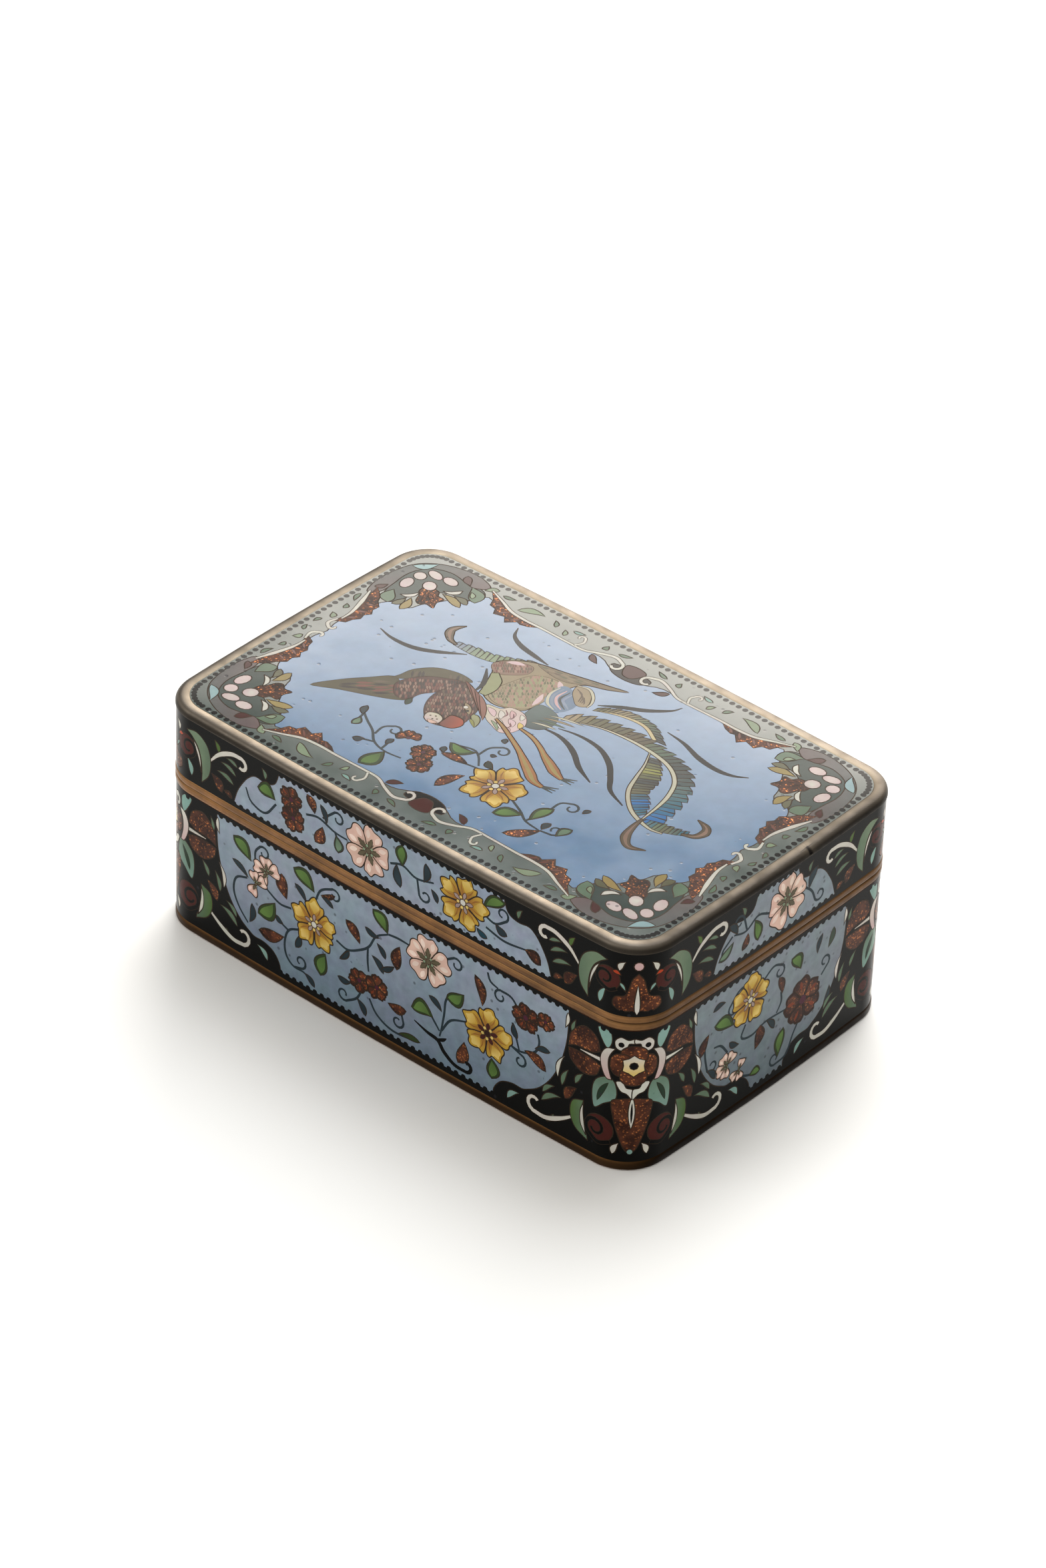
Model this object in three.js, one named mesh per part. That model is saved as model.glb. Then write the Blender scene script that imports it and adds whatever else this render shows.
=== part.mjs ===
// Cloisonne enamel box with a lift-off lid: millimetres, +Z up, +X along the long sides.
// The origin is on the standing plane, under the centre of the box.
//
// Every piece is a rounded rectangle with slightly bowed sides, carried up, over or round
// a section. A section is a list of rings, each a copy of the box's outline, moved inward
// by an inset and set at a height.
import * as THREE from 'three';

// ---- driving dimensions ----
const LENGTH = 120;
const WIDTH = 77;
const HEIGHT = 50.3; // to the top of the lid's bronze edge
const CORNER_RADIUS = 9;
const LONG_SIDE_BOW = 0.8; // how far each side swells out between its corners
const SHORT_SIDE_BOW = 0.5;

const SEAM_Z = 33.4; // where the lid meets the base
const WALL = 2.2; // copper sheet with enamel on both faces
const ENAMEL_INSET = 0.15; // enamel lies a little inside the bronze rims

const FOOT_HEIGHT = 2;
const FOOT_DEPTH = 2.6; // depths of the rims run inward from the outline
const UNDERSIDE_Z = 1;
const PLUG_GAP = 0.1; // between the foot and the enamelled bottom within it

const MOUTH_RIM_HEIGHT = 1.6; // each of the two bronze rims that meet at the seam
const MOUTH_RIM_DEPTH = 2.4;
const LIP_GAP = 0.2; // sliding room between the lip and the lid
const LIP_THICKNESS = 0.8;
const LIP_RISE = 3.3; // above the seam, inside the lid
const LIP_DROP = 4; // below the seam, against the base's wall

const EDGE_RIM_HEIGHT = 1.5; // the bronze band round the lid's top edge
const EDGE_RIM_DEPTH = 2.7;
const EDGE_ROUNDING = 1.3;
const TOP_SINK = 0.05; // the top's enamel starts this far below the bronze
const TOP_CROWN = 0.35; // and rises this much towards the middle

const INSIDE_FILLET = 1.2; // enamel pools in the corners inside

const CORNER_STEPS = 8;
const SIDE_STEPS = 6;

// ---- the outline ----
// A side that swells by bow over its half length is an arc of this radius.
const sideRadius = (halfLength, bow) => (halfLength ** 2 + bow ** 2) / (2 * bow);

// The arc of each corner touches a long and a short side's arc, so its centre lies at the
// right distance from both of their centres. It is found by walking in from a plain corner.
function cornerCentre(longRadius, shortRadius) {
  const longCentreY = WIDTH / 2 - longRadius;
  const shortCentreX = LENGTH / 2 - shortRadius;
  let x = LENGTH / 2 - CORNER_RADIUS;
  let y = WIDTH / 2 - CORNER_RADIUS;
  for (let pass = 0; pass < 20; pass += 1) {
    y = longCentreY + Math.sqrt((longRadius - CORNER_RADIUS) ** 2 - x ** 2);
    x = shortCentreX + Math.sqrt((shortRadius - CORNER_RADIUS) ** 2 - y ** 2);
  }
  return { x, y };
}

// Points counter-clockwise round the box, each with the direction that points outward.
function makeOutline() {
  const longRadius = sideRadius(LENGTH / 2 - CORNER_RADIUS, LONG_SIDE_BOW);
  const shortRadius = sideRadius(WIDTH / 2 - CORNER_RADIUS, SHORT_SIDE_BOW);
  const corner = cornerCentre(longRadius, shortRadius);
  // Half the angle that each side's arc turns through
  const longTurn = Math.asin(corner.x / (longRadius - CORNER_RADIUS));
  const shortTurn = Math.asin(corner.y / (shortRadius - CORNER_RADIUS));
  const sides = [
    { heading: 0, radius: shortRadius, turn: shortTurn, x: LENGTH / 2 - shortRadius, y: 0 },
    { heading: 1, radius: longRadius, turn: longTurn, x: 0, y: WIDTH / 2 - longRadius },
    { heading: 2, radius: shortRadius, turn: shortTurn, x: shortRadius - LENGTH / 2, y: 0 },
    { heading: 3, radius: longRadius, turn: longTurn, x: 0, y: longRadius - WIDTH / 2 },
  ];
  const points = [];
  const addArc = (centre, radius, from, to, steps) => {
    for (let step = 0; step < steps; step += 1) {
      const angle = from + ((to - from) * step) / steps;
      const out = new THREE.Vector2(Math.cos(angle), Math.sin(angle));
      points.push({ x: centre.x + radius * out.x, y: centre.y + radius * out.y, out });
    }
  };
  sides.forEach((side, index) => {
    const next = sides[(index + 1) % sides.length];
    const middle = (side.heading * Math.PI) / 2;
    const signX = index === 0 || index === 3 ? 1 : -1;
    const signY = index < 2 ? 1 : -1;
    const centre = { x: signX * corner.x, y: signY * corner.y };
    addArc(side, side.radius, middle - side.turn, middle + side.turn, SIDE_STEPS);
    addArc(centre, CORNER_RADIUS, middle + side.turn, middle + Math.PI / 2 - next.turn, CORNER_STEPS);
  });
  return points;
}

const OUTLINE = makeOutline();

// ---- solids ----
// The rings run up the outside and down the inside, so that the faces point out of the
// material. A cup's first and last rings are filled in; a hoop's last ring joins its first.
function loft(rings, isHoop) {
  const count = OUTLINE.length;
  const positions = [];
  const triangles = [];
  rings.forEach(({ inset, z, scale = 1 }) => {
    OUTLINE.forEach(({ x, y, out }) => {
      positions.push((x - inset * out.x) * scale, (y - inset * out.y) * scale, z);
    });
  });
  const joins = isHoop ? rings.length : rings.length - 1;
  for (let ring = 0; ring < joins; ring += 1) {
    const above = (ring + 1) % rings.length;
    for (let i = 0; i < count; i += 1) {
      const j = (i + 1) % count;
      const a = ring * count + i;
      const b = ring * count + j;
      const c = above * count + j;
      const d = above * count + i;
      triangles.push(a, b, c, a, c, d);
    }
  }
  if (!isHoop) {
    const last = (rings.length - 1) * count;
    const firstCentre = positions.length / 3;
    positions.push(0, 0, rings[0].z, 0, 0, rings[rings.length - 1].z);
    for (let i = 0; i < count; i += 1) {
      const j = (i + 1) % count;
      triangles.push(firstCentre, j, i, firstCentre + 1, last + i, last + j);
    }
  }
  const geometry = new THREE.BufferGeometry();
  geometry.setAttribute('position', new THREE.Float32BufferAttribute(positions, 3));
  geometry.setIndex(triangles);
  geometry.computeVertexNormals();
  return geometry;
}

const ring = (inset, z, scale) => ({ inset, z, scale });

// A quarter round, from one angle to another in degrees: 0 faces out of the box, 90 faces up.
function quarterRound(centreInset, centreZ, radius, from, to, steps) {
  const rings = [];
  for (let step = 0; step <= steps; step += 1) {
    const angle = THREE.MathUtils.degToRad(from + ((to - from) * step) / steps);
    rings.push(ring(centreInset - radius * Math.cos(angle), centreZ + radius * Math.sin(angle)));
  }
  return rings;
}

// The swelling outer face of a bronze rim, from its lower to its upper edge
function swollenFace(low, high, swell) {
  const steps = 4;
  const rings = [];
  for (let step = 0; step <= steps; step += 1) {
    const across = (2 * step) / steps - 1;
    rings.push(ring(swell * across ** 4, low + ((high - low) * step) / steps));
  }
  return rings;
}

// ---- the pieces ----
const bronze = (color) => new THREE.MeshStandardMaterial({ color, roughness: 0.42, metalness: 0.9 });
const enamel = (color) => new THREE.MeshStandardMaterial({ color, roughness: 0.25, metalness: 0 });

const baseTop = SEAM_Z - MOUTH_RIM_HEIGHT;
const lidBottom = SEAM_Z + MOUTH_RIM_HEIGHT;
const edgeRimBottom = HEIGHT - EDGE_RIM_HEIGHT;
const wallInset = ENAMEL_INSET + WALL;

// The enamelled base: a cup whose underside stands clear of the table, inside the foot
function baseShell() {
  const floorZ = UNDERSIDE_Z + WALL;
  const plugInset = FOOT_DEPTH + PLUG_GAP;
  return loft([
    ring(plugInset, UNDERSIDE_Z),
    ring(plugInset, FOOT_HEIGHT),
    ring(ENAMEL_INSET, FOOT_HEIGHT),
    ring(ENAMEL_INSET, baseTop),
    ring(wallInset, baseTop),
    ...quarterRound(wallInset + INSIDE_FILLET, floorZ + INSIDE_FILLET, INSIDE_FILLET, 0, -90, 3),
  ], false);
}

// The enamelled lid: a shallow cup, mouth down, with a faintly crowned top
function lidShell() {
  const topZ = HEIGHT - TOP_SINK;
  const ceilingZ = HEIGHT - WALL;
  const crown = [0.97, 0.85, 0.65, 0.4, 0.2].map(
    (scale) => ring(EDGE_RIM_DEPTH, topZ + TOP_CROWN * (1 - scale ** 2), scale),
  );
  return loft([
    ...quarterRound(wallInset + INSIDE_FILLET, ceilingZ - INSIDE_FILLET, INSIDE_FILLET, 90, 0, 3),
    ring(wallInset, lidBottom),
    ring(ENAMEL_INSET, lidBottom),
    ring(ENAMEL_INSET, edgeRimBottom),
    ring(EDGE_RIM_DEPTH, edgeRimBottom),
    ring(EDGE_RIM_DEPTH, topZ),
    ...crown,
  ], false);
}

// The bronze foot that the box stands on, with its arrises eased
function footRim() {
  const ease = 0.25;
  return loft([
    ring(FOOT_DEPTH - ease, 0),
    ring(2 * ease, 0),
    ring(ease / 2, ease),
    ring(0, 3 * ease),
    ring(0, FOOT_HEIGHT - 2 * ease),
    ring(ease, FOOT_HEIGHT),
    ring(FOOT_DEPTH, FOOT_HEIGHT),
    ring(FOOT_DEPTH, ease),
  ], true);
}

// The base's bronze mouth: a swollen band outside, and a thin lip that rises into the lid
function baseMouthRim() {
  const swell = 0.3;
  const lipOutside = MOUTH_RIM_DEPTH + LIP_GAP;
  const lipInside = lipOutside + LIP_THICKNESS;
  const wallSide = wallInset + PLUG_GAP;
  return loft([
    ...swollenFace(baseTop, SEAM_Z, swell),
    ring(lipOutside, SEAM_Z),
    ring(lipOutside, SEAM_Z + LIP_RISE - swell),
    ring(lipOutside + swell, SEAM_Z + LIP_RISE),
    ring(lipInside, SEAM_Z + LIP_RISE - swell / 2),
    ring(lipInside, SEAM_Z - LIP_DROP),
    ring(wallSide, SEAM_Z - LIP_DROP),
    ring(wallSide, baseTop),
  ], true);
}

// The lid's bronze mouth, which rests on the base's
function lidMouthRim() {
  return loft([
    ...swollenFace(SEAM_Z, lidBottom, 0.3),
    ring(MOUTH_RIM_DEPTH, lidBottom),
    ring(MOUTH_RIM_DEPTH, SEAM_Z),
  ], true);
}

// The rounded bronze band that turns over the lid's top edge
function lidEdgeRim() {
  const ease = 0.15;
  return loft([
    ring(ease, edgeRimBottom),
    ...quarterRound(EDGE_ROUNDING, HEIGHT - EDGE_ROUNDING, EDGE_ROUNDING, 0, 90, 5),
    ring(EDGE_RIM_DEPTH - ease, HEIGHT),
    ring(EDGE_RIM_DEPTH, HEIGHT - ease),
    ring(EDGE_RIM_DEPTH, edgeRimBottom),
  ], true);
}

const box = new THREE.Group();
const lid = new THREE.Group();
box.add(lid);

function addPiece(parent, name, geometry, material) {
  const mesh = new THREE.Mesh(geometry, material);
  mesh.name = name;
  parent.add(mesh);
}

addPiece(box, 'base_shell', baseShell(), enamel(0x7f95b8));
addPiece(box, 'foot_rim', footRim(), bronze(0x3c2c20));
addPiece(box, 'base_mouth_rim', baseMouthRim(), bronze(0x8a6038));
addPiece(lid, 'lid_shell', lidShell(), enamel(0x9fb3cc));
addPiece(lid, 'lid_mouth_rim', lidMouthRim(), bronze(0x94693f));
addPiece(lid, 'lid_edge_rim', lidEdgeRim(), bronze(0xa57f5c));

export default box;
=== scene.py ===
import math
import random

import bpy
import numpy as np
from mathutils import Matrix, Vector, geometry


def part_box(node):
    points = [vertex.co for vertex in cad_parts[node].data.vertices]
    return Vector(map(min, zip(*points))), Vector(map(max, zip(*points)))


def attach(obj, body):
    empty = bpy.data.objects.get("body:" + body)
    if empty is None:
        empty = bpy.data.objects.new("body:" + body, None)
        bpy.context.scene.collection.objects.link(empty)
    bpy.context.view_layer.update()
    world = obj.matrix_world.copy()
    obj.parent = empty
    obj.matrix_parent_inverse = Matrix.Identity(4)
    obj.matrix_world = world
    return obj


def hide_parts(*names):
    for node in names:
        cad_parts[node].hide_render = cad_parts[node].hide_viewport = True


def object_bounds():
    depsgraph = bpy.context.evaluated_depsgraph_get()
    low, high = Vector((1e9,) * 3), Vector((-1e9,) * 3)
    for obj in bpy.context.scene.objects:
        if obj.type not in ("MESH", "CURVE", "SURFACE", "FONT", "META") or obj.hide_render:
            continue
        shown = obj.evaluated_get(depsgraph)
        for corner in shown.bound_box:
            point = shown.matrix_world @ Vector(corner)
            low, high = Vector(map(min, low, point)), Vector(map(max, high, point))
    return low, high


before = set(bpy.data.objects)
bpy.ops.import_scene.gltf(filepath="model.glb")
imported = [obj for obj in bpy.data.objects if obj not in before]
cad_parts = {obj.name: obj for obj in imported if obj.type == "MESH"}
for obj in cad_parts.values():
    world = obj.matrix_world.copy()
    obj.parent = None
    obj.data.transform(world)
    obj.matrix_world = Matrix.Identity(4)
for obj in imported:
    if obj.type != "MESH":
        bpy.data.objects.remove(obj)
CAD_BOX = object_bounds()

# A cloisonne enamel box. Lengths are millimetres up to the last step of each piece.
# The decoration is drawn flat, one closed cell after another, in two kinds of plane:
# (x, y) on top of the lid, and (s, z) round the sides, where s runs from the middle of
# the front to the right. Each drawing is then cut into triangles and laid on the box.
MM = 0.001
dice = random.Random(7)


def level(node, corner):
    """The lowest (0) or highest (1) height of a CAD node."""
    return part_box(node)[corner].z / MM


LENGTH, WIDTH = [(CAD_BOX[1][i] - CAD_BOX[0][i]) / MM for i in (0, 1)]
CORNER_RADIUS = 9
LONG_SIDE_BOW = 0.8
SHORT_SIDE_BOW = 0.5
FOOT_TOP = level("foot_rim", 1)
BASE_TOP = level("base_shell", 1)
SEAM = level("lid_mouth_rim", 0)
LID_BOTTOM = level("lid_mouth_rim", 1)
EDGE_BOTTOM = level("lid_edge_rim", 0)
TOP = level("lid_edge_rim", 1)
UNDERSIDE = level("base_shell", 0)
WALL = 2.2
ENAMEL_INSET = 0.15
ENAMEL_DEPTH = 0.7
FOOT_DEPTH = 2.6
PLUG_GAP = 0.1
RIM_DEPTH = 2.4
LIP_GAP, LIP_THICKNESS, LIP_RISE, LIP_DROP = 0.2, 0.8, 3.3, 4
EDGE_RIM_DEPTH = 2.7
EDGE_ROUNDING = 1.3
TOP_SINK, TOP_CROWN = 0.05, 0.35
INSIDE_FILLET = 1.2

# ---------------------------------------------------------------- colours (sRGB, 0 to 255)
# Each ground pair fades from low to high up the box: the high colour is painted lighter as painted light.
LONG_GROUND = ((105, 122, 138), (132, 145, 161))  # of the long sides' panels, low and high
# The short sides' ground is painted darker and greyer than the long sides' as painted shade.
SHORT_GROUND_SHADED = ((92, 103, 112), (110, 121, 130))
TOP_GROUND = (62, 96, 130)
BORDER = (54, 66, 62)
BLACK = (6, 6, 5)
WIRE_TINT = (46, 35, 25)
PINK = (204, 170, 156)
PALE_PINK = (220, 198, 186)
PINK_HEART = (88, 80, 62)
YELLOW = (178, 142, 54)
AMBER = (138, 92, 40)
BROWN = (70, 37, 26)
DARK_BROWN = (46, 26, 20)
MAROON = (66, 28, 24)
RUST = (112, 52, 30)
ROSY_GREY = (148, 128, 122)
GREEN = (72, 96, 48)
DARK_GREEN = (32, 50, 36)
GREY_GREEN = (86, 106, 86)
OLIVE = (86, 85, 62)
TEAL = (40, 92, 112)
BRIGHT_BLUE = (28, 96, 156)
TURQUOISE = (120, 152, 144)
MAUVE = (186, 154, 154)
WHITE = (192, 189, 180)
PALE_YELLOW = (204, 176, 100)
STEM = (34, 46, 52)
RED = (170, 62, 34)
ORANGE = (152, 104, 58)
TAN = (138, 124, 98)
CREAM = (186, 172, 134)
PALE_OLIVE = (132, 134, 98)
YELLOW_GREEN = (128, 128, 66)
UMBER = (84, 70, 54)
DARK_UMBER = (40, 32, 26)
OLIVE_BROWN = (70, 64, 42)
SLATE = (52, 60, 60)
TEAL_GREY = (70, 96, 98)
BLUE_GREY = (98, 118, 140)
PALE_BLUE = (122, 134, 152)
ROSY_TAN = (150, 116, 102)
ROSE_BROWN = (104, 60, 50)
ROSE = (112, 76, 78)
PALE_CREAM = (176, 172, 152)
ROSY_ORANGE = (140, 86, 50)
ORANGE_RED = (156, 66, 40)
SAGE = (122, 138, 112)
TAN_YELLOW = (140, 122, 70)
PALE_TURQUOISE = (136, 164, 168)
PALE_ROSE = (190, 166, 168)
HAZE_GREY = (84, 98, 96)
PLUM = (70, 30, 44)
COUNTER_ENAMEL = (58, 104, 150)
COPPER = (120, 74, 48)
METAL = (255, 255, 255)  # leaves a metal's own colour as it is

ENAMEL, GROUND, GOLDSTONE, WIRE = range(4)
WIRE_WIDTH = 0.22
PATCH_STEPS = 4  # points of a smooth cell's edge between two given ones
PETALS = 5


def linear(colour):
    c = np.array(colour, float) / 255
    return np.where(c <= 0.04045, c / 12.92, ((c + 0.055) / 1.055) ** 2.4)


# ---------------------------------------------------------------- the box's outline
def side_radius(half_length, bow):
    return (half_length ** 2 + bow ** 2) / (2 * bow)


def outline_arcs():
    """The outline's arcs, anticlockwise from the middle of the front: centre, radius and end angles."""
    long_radius = side_radius(LENGTH / 2 - CORNER_RADIUS, LONG_SIDE_BOW)
    short_radius = side_radius(WIDTH / 2 - CORNER_RADIUS, SHORT_SIDE_BOW)
    x, y = LENGTH / 2 - CORNER_RADIUS, WIDTH / 2 - CORNER_RADIUS
    for _ in range(20):
        y = WIDTH / 2 - long_radius + math.sqrt((long_radius - CORNER_RADIUS) ** 2 - x ** 2)
        x = LENGTH / 2 - short_radius + math.sqrt((short_radius - CORNER_RADIUS) ** 2 - y ** 2)
    long_turn = math.asin(x / (long_radius - CORNER_RADIUS))
    short_turn = math.asin(y / (short_radius - CORNER_RADIUS))
    long_y, short_x = long_radius - WIDTH / 2, LENGTH / 2 - short_radius
    quarter = math.pi / 2
    return [
        ((0, long_y), long_radius, -quarter, -quarter + long_turn),
        ((x, -y), CORNER_RADIUS, -quarter + long_turn, -short_turn),
        ((short_x, 0), short_radius, -short_turn, short_turn),
        ((x, y), CORNER_RADIUS, short_turn, quarter - long_turn),
        ((0, -long_y), long_radius, quarter - long_turn, quarter + long_turn),
        ((-x, y), CORNER_RADIUS, quarter + long_turn, 2 * quarter - short_turn),
        ((-short_x, 0), short_radius, 2 * quarter - short_turn, 2 * quarter + short_turn),
        ((-x, -y), CORNER_RADIUS, 2 * quarter + short_turn, 3 * quarter - long_turn),
        ((0, long_y), long_radius, 3 * quarter - long_turn, 3 * quarter),
    ]


ARCS = outline_arcs()
ARC_LENGTHS = [radius * (last - first) for _, radius, first, last in ARCS]
ARC_STARTS = np.concatenate([[0], np.cumsum(ARC_LENGTHS)])
ROUND = ARC_STARTS[-1]
HALF_LONG = ARC_LENGTHS[0]
CORNER_AT = HALF_LONG + ARC_LENGTHS[1] / 2
SHORT_AT = ROUND / 4


def around(s):
    """Points on the outline at distances s round it, and the directions that point outward."""
    s = np.mod(np.asarray(s, float), ROUND)
    arc = np.clip(np.searchsorted(ARC_STARTS, s, "right") - 1, 0, len(ARCS) - 1)
    centre = np.array([a[0] for a in ARCS])[arc]
    radius = np.array([a[1] for a in ARCS])[arc]
    angle = np.array([a[2] for a in ARCS])[arc] + (s - ARC_STARTS[arc]) / radius
    out = np.c_[np.cos(angle), np.sin(angle)]
    return centre + radius[:, None] * out, out


SIDE_STATIONS, CORNER_STATIONS = 26, 20


def stations():
    """Distances round the outline, from the middle of the back, where a smooth sweep needs a point."""
    marks = [np.linspace(a, b, CORNER_STATIONS if arc % 2 else SIDE_STATIONS, endpoint=False)
             for arc, (a, b) in enumerate(zip(ARC_STARTS[:-1], ARC_STARTS[1:]))]
    return np.sort((np.concatenate(marks) + ROUND / 2) % ROUND - ROUND / 2)


# ---------------------------------------------------------------- plane curves
def smooth(points, closed=False, steps=6):
    """A Catmull-Rom curve through the points."""
    p = np.array(points, float)
    if closed:
        p = np.vstack([p[-1:], p, p[:2]])
    else:
        p = np.vstack([2 * p[0] - p[1], p, 2 * p[-1] - p[-2]])
    t = np.linspace(0, 1, steps, endpoint=False)[:, None]
    a, b, c, d = (q[:, None] for q in (p[:-3], p[1:-2], p[2:-1], p[3:]))
    curve = b + 0.5 * ((c - a) * t + (2 * a - 5 * b + 4 * c - d) * t ** 2 + (3 * b - a - 3 * c + d) * t ** 3)
    curve = curve.reshape(-1, 2)
    return curve if closed else np.vstack([curve, p[-2:-1]])


def run_along(path):
    return np.concatenate([[0], np.cumsum(np.hypot(*np.diff(path, axis=0).T))])


def spaced(path, count):
    run = run_along(path)
    at = np.linspace(0, run[-1], count + 1)
    return np.c_[np.interp(at, run, path[:, 0]), np.interp(at, run, path[:, 1])]


def even(path, step):
    return spaced(path, max(int(run_along(path)[-1] / step), 3))


def curled(points, side, radius, turns):
    """A smooth line through the points whose end curls up, to the left (1) or to the right (-1)."""
    path = list(even(smooth(points), 0.5))
    heading = math.atan2(*(path[-1] - path[-2])[::-1])
    count = max(int(14 * turns), 1)
    for i in range(count):
        heading += side * 2 * math.pi * turns / count
        chord = radius * (1 - 0.6 * i / count) * 2 * math.pi * turns / count
        path.append(path[-1] + chord * np.array([math.cos(heading), math.sin(heading)]))
    return np.array(path)


def ribbon(path, widths):
    """The outline of a stroke along a path, with its widths from start to end."""
    along = np.gradient(path, axis=0)
    along /= np.maximum(np.linalg.norm(along, axis=1, keepdims=True), 1e-9)
    across = np.c_[-along[:, 1], along[:, 0]]
    run = run_along(path)
    half = np.interp(run / run[-1], np.linspace(0, 1, len(widths)), widths)[:, None] / 2
    return np.vstack([path - across * half, (path + across * half)[::-1]])


def blade(base, tip, width, bend=0.0, widest=0.5, steps=9):
    """A leaf from base to tip, bent to the left by bend, and widest part of the way along."""
    base, tip = np.array(base, float), np.array(tip, float)
    reach = tip - base
    left = np.array([-reach[1], reach[0]]) / np.hypot(*reach)
    t = np.linspace(0, 1, steps)[:, None]
    spine = base + reach * t + left * bend * 4 * t * (1 - t)
    half = width / 2 * np.sin(math.pi * t ** (math.log(0.5) / math.log(widest))) ** 0.75
    return np.vstack([spine - left * half, (spine + left * half)[-2:0:-1]])


def disc(x, y, radius, sides):
    a = np.linspace(0, 2 * math.pi, sides, endpoint=False)
    return np.c_[x + radius * np.cos(a), y + radius * np.sin(a)]


def anticlockwise(outline):
    x, y = outline.T
    area = np.dot(x, np.roll(y, -1)) - np.dot(y, np.roll(x, -1))
    return outline if area > 0 else outline[::-1]


def grown(outline, by):
    """An anticlockwise outline with every point moved outward."""
    edge = np.roll(outline, -1, 0) - outline
    edge /= np.maximum(np.linalg.norm(edge, axis=1, keepdims=True), 1e-9)
    out = np.c_[edge[:, 1], -edge[:, 0]]
    out = out + np.roll(out, 1, 0)
    out /= np.maximum(np.linalg.norm(out, axis=1, keepdims=True), 0.4)
    return outline + out * by


def covered(outline, points):
    """Which points an anticlockwise outline winds round."""
    (x0, y0), (x1, y1) = outline.T, np.roll(outline, -1, 0).T
    x, y = points[:, :1], points[:, 1:]
    side = (x1 - x0) * (y - y0) - (x - x0) * (y1 - y0)
    up = (y0 <= y) & (y1 > y) & (side > 0)
    down = (y0 > y) & (y1 <= y) & (side < 0)
    return up.sum(1) > down.sum(1)


# ---------------------------------------------------------------- drawing
def vary(colour, by=0.07):
    return linear(colour) * (1 + dice.uniform(-by, by))


def flat(colour):
    tint = vary(colour)
    return lambda p: np.tile(tint, (len(p), 1))


def blend(colours, share):
    """A colour part of the way along a row of colours."""
    at = share * (len(colours) - 1)
    return tuple(np.interp(at, range(len(colours)), channel) for channel in zip(*colours))


def fade(inner, outer, near, far, along=None):
    """A colour that changes with the distance from the origin, or along a direction."""
    first, last = vary(inner), vary(outer)

    def tint(p):
        way = np.hypot(*p.T) if along is None else p @ np.array(along, float)
        share = np.clip((way - near) / (far - near), 0, 1)[:, None]
        return first * (1 - share) + last * share
    return tint


class Pen:
    """Draws closed cells in a frame of its own: moved, turned, scaled or mirrored."""

    def __init__(self, cells=None, turn=None, origin=(0, 0)):
        self.cells = [] if cells is None else cells
        self.turn = np.eye(2) if turn is None else turn
        self.origin = np.array(origin, float)

    def at(self, x=0, y=0, angle=0, size=1, mirror=False):
        c, s = math.cos(math.radians(angle)), math.sin(math.radians(angle))
        turn = self.turn @ (np.array([[c, -s], [s, c]]) @ np.diag([-size if mirror else size, size]))
        return Pen(self.cells, turn, self.origin + self.turn @ np.array([x, y], float))

    def cell(self, outline, tint, kind=ENAMEL, wire=WIRE_WIDTH):
        tint = tint if callable(tint) else flat(tint)
        outline = anticlockwise(np.asarray(outline, float) @ self.turn.T + self.origin)
        back = np.linalg.inv(self.turn)
        origin = self.origin
        if wire:
            self.cells.append((grown(outline, wire / 2), flat(WIRE_TINT), WIRE))
            outline = grown(outline, -wire / 2)
        self.cells.append((outline, lambda p: tint((p - origin) @ back.T), kind))

    def patch(self, points, tint, kind=ENAMEL, wire=WIRE_WIDTH):
        """A cell with a smooth edge through the points."""
        self.cell(smooth(points, True, PATCH_STEPS), tint, kind, wire)

    def stroke(self, path, widths, tint, wire=0):
        self.cell(ribbon(np.asarray(path, float), widths), tint, ENAMEL, wire)

    def line(self, points, widths, tint, wire=0):
        """A stroke along a smooth line through the points."""
        self.stroke(smooth(points), widths, tint, wire)


def stem(pen, points, side=0, radius=1.4, turns=0.9, width=0.5, tint=STEM):
    path = curled(points, side, radius, turns) if side else even(smooth(points), 0.6)
    pen.stroke(path, (width, width * 1.1, width * 0.8), tint)


def leaf(pen, colour, base, tip, width, bend=0.0):
    """A leaf with a darker edge, or of goldstone where the colour is a brown."""
    kind = GOLDSTONE if colour in (BROWN, DARK_BROWN) else ENAMEL
    reach = np.subtract(tip, base)
    long = np.hypot(*reach)
    dark = tuple(0.62 * c for c in colour)
    moved = pen.at(*base)
    moved.cell(blade((0, 0), reach, width, bend, 0.58), STEM if colour == STEM else dark, kind)
    if width > 1.7:
        tone = fade(colour, tuple(1.18 * c for c in colour), 0.2 * long, 0.7 * long, along=reach / long)
        moved.cell(blade(0.14 * reach, 0.9 * reach, 0.62 * width, 0.85 * bend, 0.58), tone, kind, wire=0)


PETAL_HALVES = {
    "notched": ((0.06, 0), (0.24, 0.17), (0.46, 0.35), (0.72, 0.47), (0.92, 0.42), (1.0, 0.24), (0.94, 0)),
    "lobed": ((0.06, 0), (0.30, 0.21), (0.50, 0.36), (0.68, 0.43), (0.80, 0.37), (0.81, 0.25), (0.96, 0.15),
              (1.04, 0)),
    "round": ((0.08, 0), (0.30, 0.24), (0.58, 0.46), (0.80, 0.42), (0.92, 0.28), (0.98, 0.14), (0.92, 0)),
}


def petal(form, radius):
    """A petal along +x with a slightly ragged edge."""
    half = np.array(PETAL_HALVES[form]) * radius
    edge = np.vstack([half, half[-2:0:-1] * (1, -1)])
    edge[2:-2] *= 1 + np.array([dice.uniform(-0.05, 0.05) for _ in edge[2:-2]])[:, None]
    return smooth(edge, closed=True, steps=3)


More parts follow.
